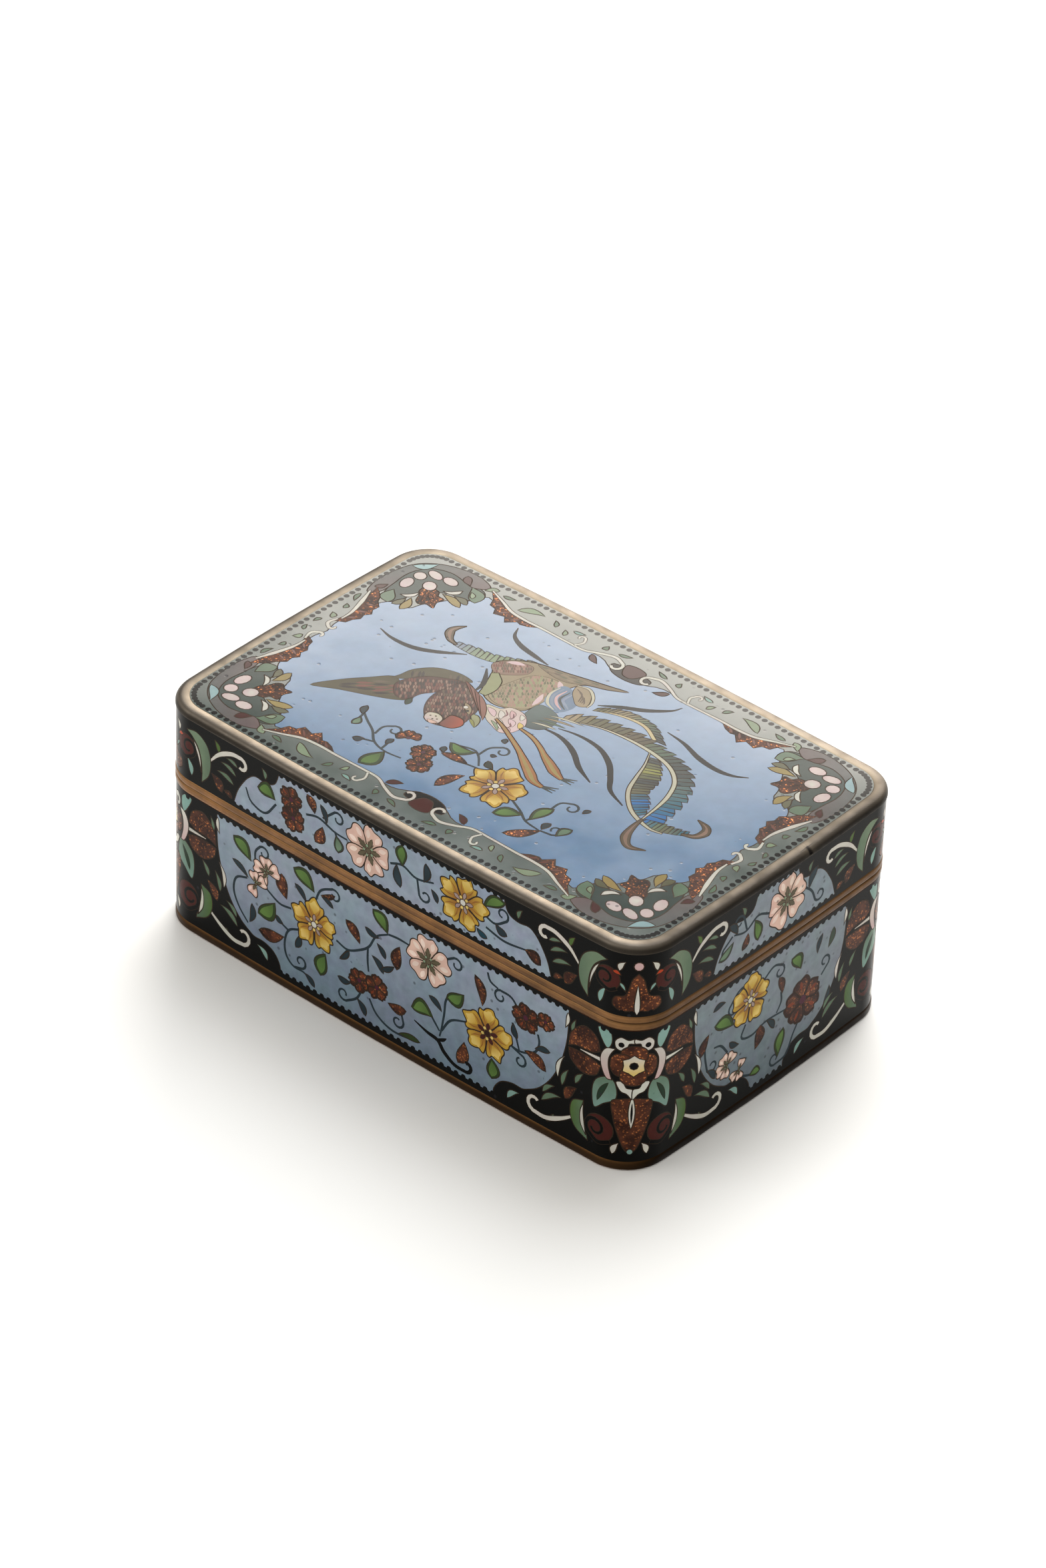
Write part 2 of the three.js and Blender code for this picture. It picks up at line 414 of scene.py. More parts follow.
def pink_petal(arm, r):
    arm.cell(petal("notched", r), fade(blend((PINK, PINK_HEART), 0.2), PINK, 0.3 * r, 0.7 * r), wire=0.26)
    for side in (-1, 1):
        arm.cell(blade((0.5 * r, side * 0.18 * r), (0.88 * r, side * 0.28 * r), 0.2 * r), PALE_PINK, wire=0)
        arm.cell(blade((0.12 * r, side * 0.04 * r), (0.42 * r, side * 0.13 * r), 0.07 * r, 0, 0.7, 6),
                 PINK_HEART, wire=0)
    arm.cell(blade((0.06 * r, 0), (0.6 * r, 0), 0.17 * r, 0, 0.6, 7), PINK_HEART, wire=0.1)


def yellow_petal(arm, r, sepal=ROSY_GREY):
    edge = petal("lobed", r)
    arm.cell(edge, fade(AMBER, YELLOW, 0.3 * r, 0.75 * r), wire=0.3)
    arm.cell(edge * (0.5, 0.5) + (0.4 * r, 0), fade(YELLOW, PALE_YELLOW, 0.5 * r, 0.8 * r), wire=0)
    for side in (-1, 1):
        arm.stroke(((0.34 * r, side * 0.08 * r), (0.52 * r, side * 0.2 * r), (0.72 * r, side * 0.26 * r)),
                   (0.12, 0.34, 0.1), AMBER)
    arm.cell(blade((0.1 * r, 0), (0.42 * r, 0), 0.15 * r, 0, 0.6, 6), sepal, wire=0.14)


def tawny_petal(arm, r):
    yellow_petal(arm, r, MAROON)


def brown_petal(arm, r):
    edge = petal("round", r)
    arm.cell(edge, DARK_BROWN)
    arm.cell(edge * (0.8, 0.74) + (0.1 * r, 0), BROWN, GOLDSTONE, wire=0)
    arm.cell(blade((0.4 * r, 0), (0.84 * r, 0), 0.16 * r, 0, 0.6, 6), RUST, wire=0)


def blossom(pen, kind, x, y, radius, angle, spare):
    """A flower seen from the front, with a petal left out for each number in spare."""
    place = pen.at(x, y, angle)
    draw_petal, heart, stamen = {
        "pink": (pink_petal, PINK_HEART, SAGE),
        "yellow": (yellow_petal, WHITE, PALE_YELLOW),
        "tawny": (tawny_petal, DARK_BROWN, PALE_YELLOW),
        "brown": (brown_petal, PLUM, DARK_BROWN),
    }[kind]
    shown = [k for k in range(PETALS) if k not in spare]
    for k in shown:
        turned = place.at(angle=360 / PETALS * k + dice.uniform(-4, 4), size=dice.uniform(0.94, 1.04))
        draw_petal(turned, radius)
    for k in shown:
        between = place.at(angle=360 / PETALS * (k + 0.5))
        between.cell(disc(0.2 * radius, 0, 0.07 * radius, 7), stamen, wire=0.1)
    place.cell(disc(0, 0, (0.2 if kind == "brown" else 0.12) * radius, 8), heart, wire=0.12)


STRIP = 0.75  # black enamel between the bronze and the blue
FOOT_STRIP = 1.2
BEAD = 0.6
SEAM_PITCH, TOP_PITCH = 1.77, 1.59
TOP_BEADS_INSET = 3.5


def bead_row(pen, positions):
    for x, y in positions:
        pen.cell(disc(x, y, BEAD, 9), BLACK, wire=0)


# ---------------------------------------------------------------- the sides' drawing
# Sprays are lists in (x, z) from the middle of their panel: leaves as colour, base, tip,
# width and bend, and stems as points with the turn of the curl at their end, if any.
FRONT_BASE_STEMS = (
    (((-35.5, 20.5), (-38.3, 19.2), (-39, 16), (-37.6, 12.8), (-35.2, 10.2)), 0),
    (((-24, 19.3), (-27, 18.9), (-30, 20.3), (-31.6, 21.2)), 0),
    (((-33.4, 25), (-33.4, 27.6), (-32.2, 29.3)), -1),
    (((-18, 24), (-16.6, 27.3), (-13.6, 29.1)), -1),
    (((-22, 15.5), (-24.6, 14), (-25.6, 11), (-25.2, 8), (-23.3, 6.3), (-20.4, 6.2), (-18.4, 4.4)), 0),
    (((-24.4, 13.8), (-26.5, 14.6)), 0),
    (((-23, 6.3), (-20.9, 6.9)), 1),
    (((-12.5, 18), (-9.6, 17.3), (-6.5, 18.9), (-4.3, 20.8), (-2.6, 24), (0.4, 26)), 0),
    (((-4.6, 20.5), (-4.6, 17.5), (-4.3, 15)), 0),
    (((-9.6, 17.2), (-11.5, 14.4)), 0),
    (((-6, 9.6), (-7.2, 7.3), (-9.8, 5.4)), -1),
    (((-7, 7.6), (-5.2, 4.6)), 0),
    (((-4, 9), (-2, 6.2), (2, 4.6), (8, 5.2)), 0),
    (((0.4, 26), (2.8, 26.3), (5.6, 26.2)), 0),
    (((14, 27.3), (16.4, 28.9)), -1),
    (((18.5, 21.5), (15, 19), (14.4, 15), (13.8, 11), (13.4, 9.4)), 0),
    (((11, 13.4), (13.4, 10.6)), 0),
    (((13.9, 11), (16, 14.4), (19.6, 16)), 0),
    (((32.3, 24.6), (30.2, 27), (27.4, 27.3)), 1),
    (((24.4, 29.8), (25.1, 28.1), (27, 27.4)), 0),
    (((36.6, 22), (37, 20), (36, 17.6), (33, 16.1), (30.4, 16.3)), 0),
    (((30.6, 16.2), (33.4, 15.2)), -1),
    (((30.6, 21.6), (31.6, 18.6), (32.4, 16.2)), 0),
    (((3.8, 10.4), (4.6, 7.6)), -1),
)
FRONT_BASE_LEAVES = (
    (GREEN, (-34.6, 24.8), (-39.2, 28.4), 3.4, -0.7),
    (GREEN, (-18.2, 26), (-23.6, 29), 3.6, -0.8),
    (GREEN, (-28.2, 18.4), (-32.6, 13.8), 3.6, 0.9),
    (GREEN, (-15.2, 13.4), (-16.4, 7.8), 3.4, -0.5),
    (GREEN, (0.2, 26), (-3.6, 29.8), 3.2, -0.7),
    (BROWN, (-25.2, 20.8), (-26.6, 26), 3, 0.6),
    (BROWN, (-6.6, 20.2), (-10.2, 24), 2.4, -0.5),
    (BROWN, (-25.8, 11.8), (-32.4, 10), 2.8, 0.6),
    (BROWN, (-16.6, 26.2), (-13, 27.8), 1.1, -0.3),
    (STEM, (-35.2, 20.6), (-39.4, 23), 1.3, -0.4),
    (STEM, (-20.2, 22.6), (-23.2, 25.6), 1.3, -0.4),
    (STEM, (-16.4, 26), (-13.4, 24.8), 1.1, 0.3),
    (STEM, (-1.8, 24), (-5.4, 24.8), 1.3, 0.4),
    (STEM, (-2.4, 22.6), (-0.2, 20), 1.3, 0.3),
    (STEM, (-3.6, 19.2), (-0.6, 16.4), 1.5, 0.5),
    (STEM, (-8.6, 10.2), (-12, 10), 1.4, 0.4),
    (STEM, (-21.6, 14.6), (-22.8, 11), 1.5, 0.3),
    (STEM, (-26, 14.6), (-28, 15.8), 1.2, 0.3),
    (STEM, (-34.8, 10.6), (-34.2, 15.2), 1.5, -0.6),
    (STEM, (-20.4, 6.2), (-17.8, 4.2), 1.3, 0.3),
    (STEM, (-7, 7.4), (-4.8, 4.4), 1.5, 0.4),
    (STEM, (-11.6, 14.2), (-9.2, 17.2), 1.1, -0.3),
    (GREEN, (3.4, 4.8), (8.8, 5.4), 1.3, 0.3),
    (BROWN, (3.2, 24.6), (2.6, 19), 2.6, -0.5),
    (GREEN, (19, 21.8), (14.8, 19), 3.2, 0.8),
    (STEM, (13.8, 15.2), (10.6, 17.4), 1.4, -0.4),
    (GREEN, (11.8, 12.8), (6.4, 12.6), 3.6, -1.3),
    (BROWN, (23.4, 21.6), (21.4, 27.8), 2.2, -0.8),
    (STEM, (36, 18.4), (39.6, 19.4), 1.3, 0.3),
    (BROWN, (33.6, 16.8), (38.8, 14.6), 2.4, 0.7),
    (STEM, (30.8, 21.6), (31.8, 18.4), 1.4, -0.3),
    (GREEN, (26, 11), (26.2, 6.4), 3.2, 0.4),
    (BROWN, (19.4, 11.2), (18, 5.8), 2.8, 0.6),
    (BROWN, (0.6, 10.4), (5.2, 10.8), 2.2, -0.5),
    (STEM, (2, 19.4), (-1.2, 17.2), 1.2, 0.3),
)
FRONT_BASE_FLOWERS = (
    ("pink", -30.4, 24.2, 3.4, 100, (3,)),
    ("pink", -33.2, 20.2, 2.9, 250, (1, 4)),
    ("yellow", -18.2, 18.6, 5.9, 92, ()),
    ("brown", -6.6, 11.8, 2.7, 60, ()),
    ("brown", -2.2, 12.4, 2.9, 20, ()),
    ("pink", 10.2, 24.8, 5.1, 90, ()),
    ("tawny", 24.8, 16, 5.9, 88, ()),
    ("brown", 33.6, 24.2, 3.2, 30, ()),
    ("brown", 38.2, 25.6, 2.1, 70, ()),
)
SHORT_BASE_STEMS = (
    (((-6, 28.6), (-9.4, 28.4), (-12, 25.8)), 1),
    (((-2.4, 27), (0.4, 28.6), (3, 27.6)), -1),
    (((-18.6, 22.4), (-18.2, 18), (-17.4, 14.4)), 1),
    (((-7, 19.4), (-8, 16.8), (-5, 15.8), (-1, 16.8), (4.6, 16.4)), 0),
    (((3, 21.4), (3.2, 19), (2, 17)), 0),
    (((15, 18.6), (17, 20.4)), 1),
    (((9, 11.6), (7.4, 9), (5.6, 5.4), (2.2, 4.8)), -1),
    (((-8.6, 8.4), (-5, 6.6), (-2, 6.4)), 0),
    (((-11.8, 15.6), (-13.8, 18.2), (-15.8, 18.8)), 0),
)
SHORT_BASE_LEAVES = (
    (GREEN, (-10.4, 21.2), (-16, 23.8), 3.2, -0.7),
    (GREEN, (8.6, 23.6), (5.6, 27.4), 3, -0.8),
    (GREEN, (3.2, 6.2), (4.4, 12.4), 2.8, 0.5),
    (GREEN, (-5, 6.4), (-1.8, 6.2), 2, 0.4),
    (BROWN, (-3.8, 11.8), (-2.6, 16.8), 2.8, -0.6),
    (BROWN, (-17.4, 22.8), (-19.4, 18.6), 2.2, -0.5),
    (BROWN, (3.4, 20.8), (2.2, 25), 1.8, -0.4),
    (STEM, (-8.6, 15.8), (-11.4, 17.6), 1.3, 0.4),
    (STEM, (-0.8, 16.8), (1.6, 13.8), 1.4, 0.4),
    (STEM, (-17.4, 14.4), (-15, 11.4), 1.4, 0.4),
    (STEM, (-13.2, 27.8), (-16.6, 27.4), 1.3, -0.4),
    (STEM, (13.4, 24.4), (14.6, 28.4), 1.3, 0.4),
    (GREY_GREEN, (16.6, 24), (18, 28), 1.6, -0.4),
    (STEM, (17.8, 14.8), (16.4, 10.4), 1.4, 0.4),
)
SHORT_BASE_FLOWERS = (
    ("yellow", -6, 24.4, 5.7, 84, ()),
    ("brown", 9.8, 15.8, 5.4, 100, ()),
    ("pink", -11.8, 12.6, 3, 120, (3,)),
    ("pink", -8.2, 9.6, 2.5, 280, (1, 3)),
)
FRONT_LID_STEMS = (
    (((-28.2, 41), (-31, 37.6), (-34.6, 38.4), (-36, 41)), 0),
    (((-16.4, 43.8), (-13.4, 46.6)), -1),
    (((-20.6, 42.6), (-17.4, 43.4), (-13.4, 42.2), (-10.2, 42)), 0),
    (((0.4, 42.2), (3.4, 43.2), (6.8, 42), (11, 43)), 0),
    (((7, 42), (7.6, 38.6)), 1),
    (((23.4, 42), (25.8, 41.4), (28.4, 43.2)), 1),
    (((23.6, 39.6), (28, 38.6), (33, 39.2)), 0),
    (((-13.4, 42.4), (-12.2, 40)), 0),
)
FRONT_LID_LEAVES = (
    (GREEN, (-28.4, 41.8), (-33, 42.6), 3.4, -1.0),
    (BROWN, (-18.4, 43.8), (-20.4, 47.2), 2.2, -0.4),
    (BROWN, (-16.4, 41.8), (-18.2, 37.6), 2.6, 0.5),
    (GREY_GREEN, (-13, 41.6), (-12.4, 38), 2.4, 0.4),
    (STEM, (-15.4, 42.9), (-17, 46.6), 1.3, -0.4),
    (GREEN, (3.4, 43), (3.2, 47.6), 2.8, 0.3),
    (STEM, (2, 42.8), (3, 38), 2, -0.4),
    (STEM, (8.6, 42), (9, 46.4), 1.8, -0.6),
    (GREEN, (22.8, 44), (28, 47), 2.6, 0.6),
    (STEM, (25.8, 41.4), (28.6, 40), 1.7, -0.4),
    (BROWN, (32.8, 39.2), (36.6, 37.6), 2.6, 0.5),
    (TEAL, (21.4, 38.4), (24, 37.2), 1.3, -0.3),
    (STEM, (10.4, 41.4), (12, 39), 1.2, 0.3),
)
FRONT_LID_FLOWERS = (
    ("brown", -24.4, 44, 2.9, 80, ()),
    ("brown", -23.8, 40, 2.9, 250, ()),
    ("pink", -5, 42.2, 5.3, 74, ()),
    ("yellow", 18, 42.2, 5.8, 80, ()),
)
SHORT_LID_STEMS = (
    (((-2.2, 42), (-5.4, 43.2), (-8.6, 41.4), (-12, 42.2)), 0),
    (((-12.4, 42.2), (-14.8, 40.4)), 1),
    (((8, 42.4), (10.2, 40.4), (11.4, 37.8)), 1),
    (((-8.4, 41.6), (-9.4, 45)), 1),
)
SHORT_LID_LEAVES = (
    (GREEN, (-6.2, 42.6), (-5, 37.4), 2.4, 0.5),
    (STEM, (-11, 42), (-13.4, 45), 1.6, -0.4),
    (GREY_GREEN, (-12, 40.8), (-16, 38.2), 2, 0.5),
    (STEM, (9.4, 41.4), (11.6, 45.4), 1.8, 0.6),
    (BROWN, (-8, 40.6), (-9.4, 37.4), 1.8, 0.4),
)
SHORT_LID_FLOWERS = (("pink", 3, 42.2, 5.5, 96, ()),)


def spray(pen, stems, leaves, flowers):
    for points, side in stems:
        stem(pen, points, side)
    for colour, base, tip, width, bend in leaves:
        leaf(pen, colour, base, tip, width, bend)
    for kind, x, y, radius, angle, spare in flowers:
        blossom(pen, kind, x, y, radius, angle, spare)


# Between these heights the ground is painted lighter upward, as painted light.
PAINTED_LIGHT_HEIGHTS = (7, 28)  # heights between which the ground pales
# A panel of blue ground stops short of each corner's middle by these distances.
BASE_PANEL_EDGE = ((14.1, 31.4), (14.2, 25), (15.1, 20), (16.6, 15.6), (18.4, 12.4), (20.6, 9.9),
                   (22.8, 8.5), (24.2, 7.9), (26.6, 7.9), (29.2, 6.9), (30.8, 4.6), (30.9, 2.4))
LID_PANEL_EDGE = ((18.4, 35.8), (19.4, 39), (20.7, 41.4), (22.2, 43.4), (24, 44.6), (26.6, 44.4),
                  (29, 45.4), (30.2, 48.6))


def panel(pen, half_width, edge, bottom, top, ground):
    """Blue ground between two corners, over the black, and painted paler towards its top as painted light.
    """
    right = smooth([(half_width - u, z) for u, z in edge], steps=4)
    right = np.clip(right, (-1e9, bottom), (1e9, top))
    colour = fade(*ground, *PAINTED_LIGHT_HEIGHTS, (0, 1))
    pen.cell(np.vstack([right, (right * (-1, 1))[::-1]]), colour, GROUND)


def comma(pen, colour, base, tip, width, bend):
    """A small leaf, of goldstone where its colour is brown."""
    pen.cell(blade(base, tip, width, bend, 0.6), colour, GOLDSTONE if colour == BROWN else ENAMEL)


def mirrored(pen, points):
    """A goldstone cell of which the points give the right half, from top to bottom."""
    half = smooth(points)
    pen.cell(np.vstack([half, half[-2:0:-1] * (-1, 1)]), BROWN, GOLDSTONE)


def crescent(pen, outer, inner, tint, kind=ENAMEL):
    pen.cell(np.vstack([smooth(outer), smooth(inner)[::-1]]), tint, kind)


def base_corner_half(pen):
    """The right half of a corner of the base, from the corner's middle at x = 0."""
    for base, tip, width, bend, colour in (
        ((16.6, 12.4), (19.4, 9.8), 1.1, 0.5, GREY_GREEN), ((15, 10.6), (19.6, 7.8), 1.3, 0.7, GREY_GREEN),
        ((13.6, 17.8), (15, 13.6), 1.1, 0.4, GREY_GREEN), ((10.2, 18.6), (12, 15.6), 1.1, 0.3, GREY_GREEN),
        ((11.6, 14.6), (14.2, 11), 2, 0.5, BROWN), ((12.4, 29.8), (13.2, 26.6), 0.9, 0.2, GREY_GREEN),
        ((24.8, 6.4), (27.6, 4), 1.3, 0.6, TURQUOISE), ((18.4, 3.6), (16.6, 6), 0.9, 0.3, GREY_GREEN),
    ):
        comma(pen, colour, base, tip, width, bend)
    comma(pen, WHITE, (14.6, 20.4), (16, 15), 1, 0.7)
    comma(pen, WHITE, (14.8, 26.8), (14.3, 30.4), 0.9, 0.3)
    pen.stroke(curled(((11.6, 8.3), (15, 5.9), (18.4, 4.3), (21.4, 4.4)), 1, 1.9, 0.62), (0.5, 1.1, 1, 0.8),
               WHITE, wire=0.15)
    crescent(pen, ((9.9, 12.8), (12.4, 11.6), (12.9, 8.6), (11.6, 5.8), (8.6, 4.2)),
             ((9.9, 12.8), (10.4, 10), (10.2, 7.4), (8.9, 5.4), (8.6, 4.2)),
             fade(GREY_GREEN, GREEN, 9, 13, (1, 0)))
    crescent(pen, ((9.9, 12.4), (10.6, 10), (10.4, 7.4), (9.1, 5.2)),
             ((9.9, 12.4), (9.9, 10), (9.5, 7.4), (9.1, 5.2)), WHITE)
    pen.cell(disc(6.2, 8.4, 3.0, 20), MAROON)
    pen.stroke(curled(((3.8, 6), (6.4, 5.2), (8.6, 6.6)), 1, 2.2, 1.1), (0.9, 0.8, 0.5), BLACK, wire=0.12)
    crescent(pen, ((6.6, 25.6), (7.6, 28.4), (10.6, 29.4), (13.4, 26.6), (13.9, 23.4)),
             ((6.6, 25.6), (8.2, 24.6), (10.4, 24.4), (12.2, 24.2), (13.9, 23.4)), BROWN, GOLDSTONE)
    crescent(pen, ((6.4, 22.4), (7.4, 19.9), (10.4, 18.9), (13.2, 20.6), (13.9, 23)),
             ((6.4, 22.4), (8, 23), (10.4, 23.2), (12.4, 23.2), (13.9, 23)), BROWN, GOLDSTONE)
    pen.cell(ribbon(smooth(((6.2, 23.9), (8.8, 23.8), (11.2, 23.8))), (1, 0.7, 0.3)), WHITE)
    pen.patch(((4.3, 28.4), (5.4, 27.2), (7.4, 30.9), (4.7, 30.9)), TURQUOISE)
    pen.patch(((3.4, 19.8), (5.2, 20.6), (7.4, 19), (8.1, 16.2), (7.5, 12.7), (5.4, 14.4), (3, 16.3)),
             fade(TURQUOISE, GREY_GREEN, 12, 22, (0.3, 0.95)))
    pen.cell(blade((4.6, 19.4), (6.9, 14.4), 1.1, 0.3), DARK_GREEN, wire=0.1)
    comma(pen, WHITE, (2.1, 6.2), (3.3, 3.5), 1.3, 0.35)


ROSETTE_Z = 23.9
ROSETTE_PETAL = ((0.8, -2), (3, -2.5), (4.2, -1.5), (4.5, 0), (4.2, 1.5), (3, 2.5), (0.8, 2))


def base_corner(pen):
    for mirror in (False, True):
        base_corner_half(pen.at(mirror=mirror))
    long_petal = ((0, 16.6), (2, 16.3), (3.9, 15.4), (3.4, 11.6), (2.4, 8), (1.2, 5), (0, 3.9))
    mirrored(pen, long_petal)
    pen.cell(blade((0, 17), (0, 9.6), 1.3), WHITE)
    pen.cell(blade((0, 15.6), (0, 10.6), 0.45), BLACK, wire=0)
    pen.cell(disc(0, 4.3, 0.6, 9), TURQUOISE, wire=0.12)
    # The rosette: scrolled mauve brackets round four goldstone petals and a pale star
    for side in (-1, 1):
        arm = pen.at(mirror=side < 0)
        crescent(arm, ((3.5, 27.4), (5.4, 27), (6.5, 25), (6.3, 22.6), (5.2, 20.4), (4, 20.2)),
                 ((3.5, 27.4), (4.3, 26.2), (4.8, 24.8), (4.8, 23), (4.4, 21.4), (4, 20.2)),
                 fade(MAUVE, WHITE, 20, 27, (0, 1)))
        arm.patch(((0, 30), (1.2, 29.7), (2.6, 30.2), (3.7, 29.2), (3.5, 27.7), (2.4, 27.2), (1.4, 28),
                   (1, 28.9), (0, 29)), WHITE)
        arm.cell(disc(2.5, 28.5, 0.55, 9), BLACK, wire=0.1)
        arm.patch(((0, 16.3), (1.1, 17.5), (2.3, 18.1), (3.2, 20), (1.9, 20.2), (1.2, 18.9), (0, 18.5)),
                  WHITE)
    for angle in (0, 90, 180, 270):
        arm = pen.at(0, ROSETTE_Z, angle)
        arm.cell(smooth(ROSETTE_PETAL, True, 5), BROWN, GOLDSTONE)
    star = [(reach * math.sin(k * math.pi / 6), ROSETTE_Z + reach * math.cos(k * math.pi / 6))
            for k, reach in enumerate((2.4, 2.4 * 0.8) * 6)]
    pen.cell(star, fade(PALE_YELLOW, WHITE, 22, 26, (0, 1)))
    pen.cell(disc(0, ROSETTE_Z, 0.8, 8), BLACK)


def lid_corner_half(pen):
    for base, tip, width, bend, colour in (
        ((15, 43.4), (19, 42), 1, 0.5, GREY_GREEN), ((14, 41), (18.4, 39.8), 1.1, 0.5, GREY_GREEN),
        ((16.4, 45), (19.4, 44.2), 0.9, 0.3, GREY_GREEN), ((12.6, 39.6), (15.4, 36.6), 2.2, 0.5, BROWN),
        ((15.8, 37.4), (18, 36.6), 1.2, 0.3, BROWN), ((13.4, 47.6), (14.6, 45.2), 1.1, 0.3, GREEN),
        ((25.6, 47.4), (26.6, 45.2), 1, 0.4, GREY_GREEN), ((6, 40.4), (7.4, 36.5), 1.3, 0.4, TURQUOISE),
        ((2.2, 40.4), (3.6, 42.4), 0.7, 0.2, TURQUOISE),
    ):
        comma(pen, colour, base, tip, width, bend)
    pen.stroke(curled(((12.3, 42.3), (14.6, 44.8), (17.8, 46.5), (20.4, 46.7)), -1, 1.45, 0.62),
               (0.5, 1.1, 1, 0.8), WHITE, wire=0.15)
    crescent(pen, ((10, 36.2), (11.9, 38.6), (12.4, 42), (11.4, 45.2), (8.8, 46.9), (6, 46.5)),
             ((10, 36.2), (10.1, 39), (9.8, 41.6), (9, 43.8), (7.6, 45.4), (6, 46.5)),
             fade(blend((GREY_GREEN, SAGE), 0.5), GREY_GREEN, 9, 12.5, (1, 0)))
    crescent(pen, ((9.9, 38.4), (9.7, 41.4), (8.9, 43.6), (7.7, 45)),
             ((9.9, 38.4), (9.2, 41.2), (8.4, 43.2), (7.7, 45)), WHITE)
    pen.cell(disc(5.9, 42.6, 2.6, 18), MAROON)
    pen.stroke(curled(((4, 40.8), (5.6, 40.1), (7.6, 41)), 1, 1.9, 1.0), (0.8, 0.7, 0.4), BLACK, wire=0.12)
    comma(pen, RED, (3.2, 43.9), (4.9, 44.6), 0.9, 0.2)
    comma(pen, WHITE, (2.4, 47), (3.6, 44.9), 1.2, 0.4)


def lid_corner(pen):
    for mirror in (False, True):
        lid_corner_half(pen.at(mirror=mirror))
    trefoil = ((0, 44.6), (1.1, 43.2), (1.7, 41), (2.4, 39.6), (4.2, 39), (4.6, 37.2), (3, 36.1),
               (1.4, 36.2), (0, 35.9))
    mirrored(pen, trefoil)
    pen.cell(blade((0, 35.4), (0, 42), 1.1, 0, 0.3), WHITE)
    pen.cell(disc(0, 46.2, 0.95, 10), MAUVE)


def side_pens(pen):
    """A pen for each long side, each short side and each corner, with its middle at x = 0."""
    longs = [pen.at(0, 0), pen.at(ROUND / 2, 0), pen.at(-ROUND / 2, 0)]
    shorts = [pen.at(SHORT_AT, 0), pen.at(-SHORT_AT, 0)]
    corners = [pen.at(side * at, 0) for side in (-1, 1) for at in (CORNER_AT, ROUND / 2 - CORNER_AT)]
    return longs, shorts, corners


def row_at(height, pitch):
    count = round(ROUND / pitch)
    return [((k + 0.5) * ROUND / count - ROUND / 2, height) for k in range(count)]


def base_drawing():
    pen = Pen()
    longs, shorts, corners = side_pens(pen)
    half_short = SHORT_AT - CORNER_AT
    for side in longs:
        panel(side, CORNER_AT, BASE_PANEL_EDGE, FOOT_TOP + FOOT_STRIP, BASE_TOP - STRIP, LONG_GROUND)
    for side in shorts:
        panel(side, half_short, BASE_PANEL_EDGE, FOOT_TOP + FOOT_STRIP, BASE_TOP - STRIP, SHORT_GROUND_SHADED)
    for side in longs:
        spray(side, FRONT_BASE_STEMS, FRONT_BASE_LEAVES, FRONT_BASE_FLOWERS)
        branch = ((7.2, 9.9), (10.4, 8.8), (13, 8.3), (14.6, 6.4), (17.2, 4.8), (20.2, 4.6))
        side.stroke(curled(branch, 1, 1.3, 0.6), (0.3, 0.9, 1, 0.8, 0.9), BLACK)
        side.cell(blade((12.6, 8.4), (15.2, 9.8), 0.8, -0.3), BLACK, wire=0)
    for side in shorts:
        spray(side, SHORT_BASE_STEMS, SHORT_BASE_LEAVES, SHORT_BASE_FLOWERS)
    for corner in corners:
        base_corner(corner)
    bead_row(pen, row_at(BASE_TOP - STRIP, SEAM_PITCH))
    bead_row(pen, row_at(FOOT_TOP + FOOT_STRIP, SEAM_PITCH))
    return pen.cells


def lid_drawing():
    pen = Pen()
    longs, shorts, corners = side_pens(pen)
    half_short = SHORT_AT - CORNER_AT
    for side in longs:
        panel(side, CORNER_AT, LID_PANEL_EDGE, LID_BOTTOM + STRIP, EDGE_BOTTOM - STRIP, LONG_GROUND)
        spray(side, FRONT_LID_STEMS, FRONT_LID_LEAVES, FRONT_LID_FLOWERS)
    for side in shorts:
        panel(side, half_short, LID_PANEL_EDGE, LID_BOTTOM + STRIP, EDGE_BOTTOM - STRIP, SHORT_GROUND_SHADED)
        spray(side, SHORT_LID_STEMS, SHORT_LID_LEAVES, SHORT_LID_FLOWERS)
    for corner in corners:
        lid_corner(corner)
    bead_row(pen, row_at(LID_BOTTOM + STRIP, SEAM_PITCH))
    bead_row(pen, row_at(EDGE_BOTTOM - STRIP, TOP_PITCH))
    return pen.cells


# ---------------------------------------------------------------- the top's drawing
PICTURE = (
    (0, -26.9), (4, -27.6), (8, -29.3), (16, -28.6), (23, -28.6), (30, -27.6), (36.4, -29.8), (38.4, -26),
    (40.6, -24.6), (42.2, -22), (44, -19), (45, -16.4), (48.6, -16), (50.4, -13), (49.6, -8), (51.6, -4),
    (50.9, 0),
)


def quarters(pen):
    """Pens for the four quarters of the top, all like the front right one."""
    return [pen.at(), pen.at(mirror=True), pen.at(angle=180), pen.at(angle=180, mirror=True)]


NOSEGAY_BED = ((36.8, -28.4), (38.8, -26), (43, -25.2), (46.8, -22), (48.6, -16), (51.6, -16.4), (53, -21),
               (53, -26.6), (51.4, -29.6), (47, -31.2), (41, -31), (38, -30.4))
CORNER_BAND = ((54.8, -15.4), (56, -19.5), (55.8, -24), (54.6, -28.4), (51.6, -31.6), (47, -33.6),
               (42, -34), (38.2, -32.4), (40.6, -30.2), (43.6, -30.7), (47, -31.2), (50.6, -30),
               (52.5, -27.6), (53.2, -24.4), (52.8, -20.6), (52.8, -17))
LONG_ACANTHUS = ((22.6, -28.6), (24.4, -27.4), (26, -26.9), (26.9, -27.2), (28.6, -25.4), (29.8, -26.9),
                 (32.1, -26.2), (32.9, -27.7), (34.5, -28), (35.3, -29.9), (37.6, -32.1), (33.4, -30.6),
                 (29.6, -29), (26, -28.7))
SHORT_ACANTHUS = ((52.6, -3.4), (50.4, -4.6), (50, -6.2), (49.1, -7.4), (49.5, -8.8), (48.6, -10),
                  (49.5, -11.2), (49.3, -12.8), (50.8, -14.2), (51.6, -15.8), (54.2, -17.8), (53.2, -13.4),
                  (52, -9), (52, -5.6))


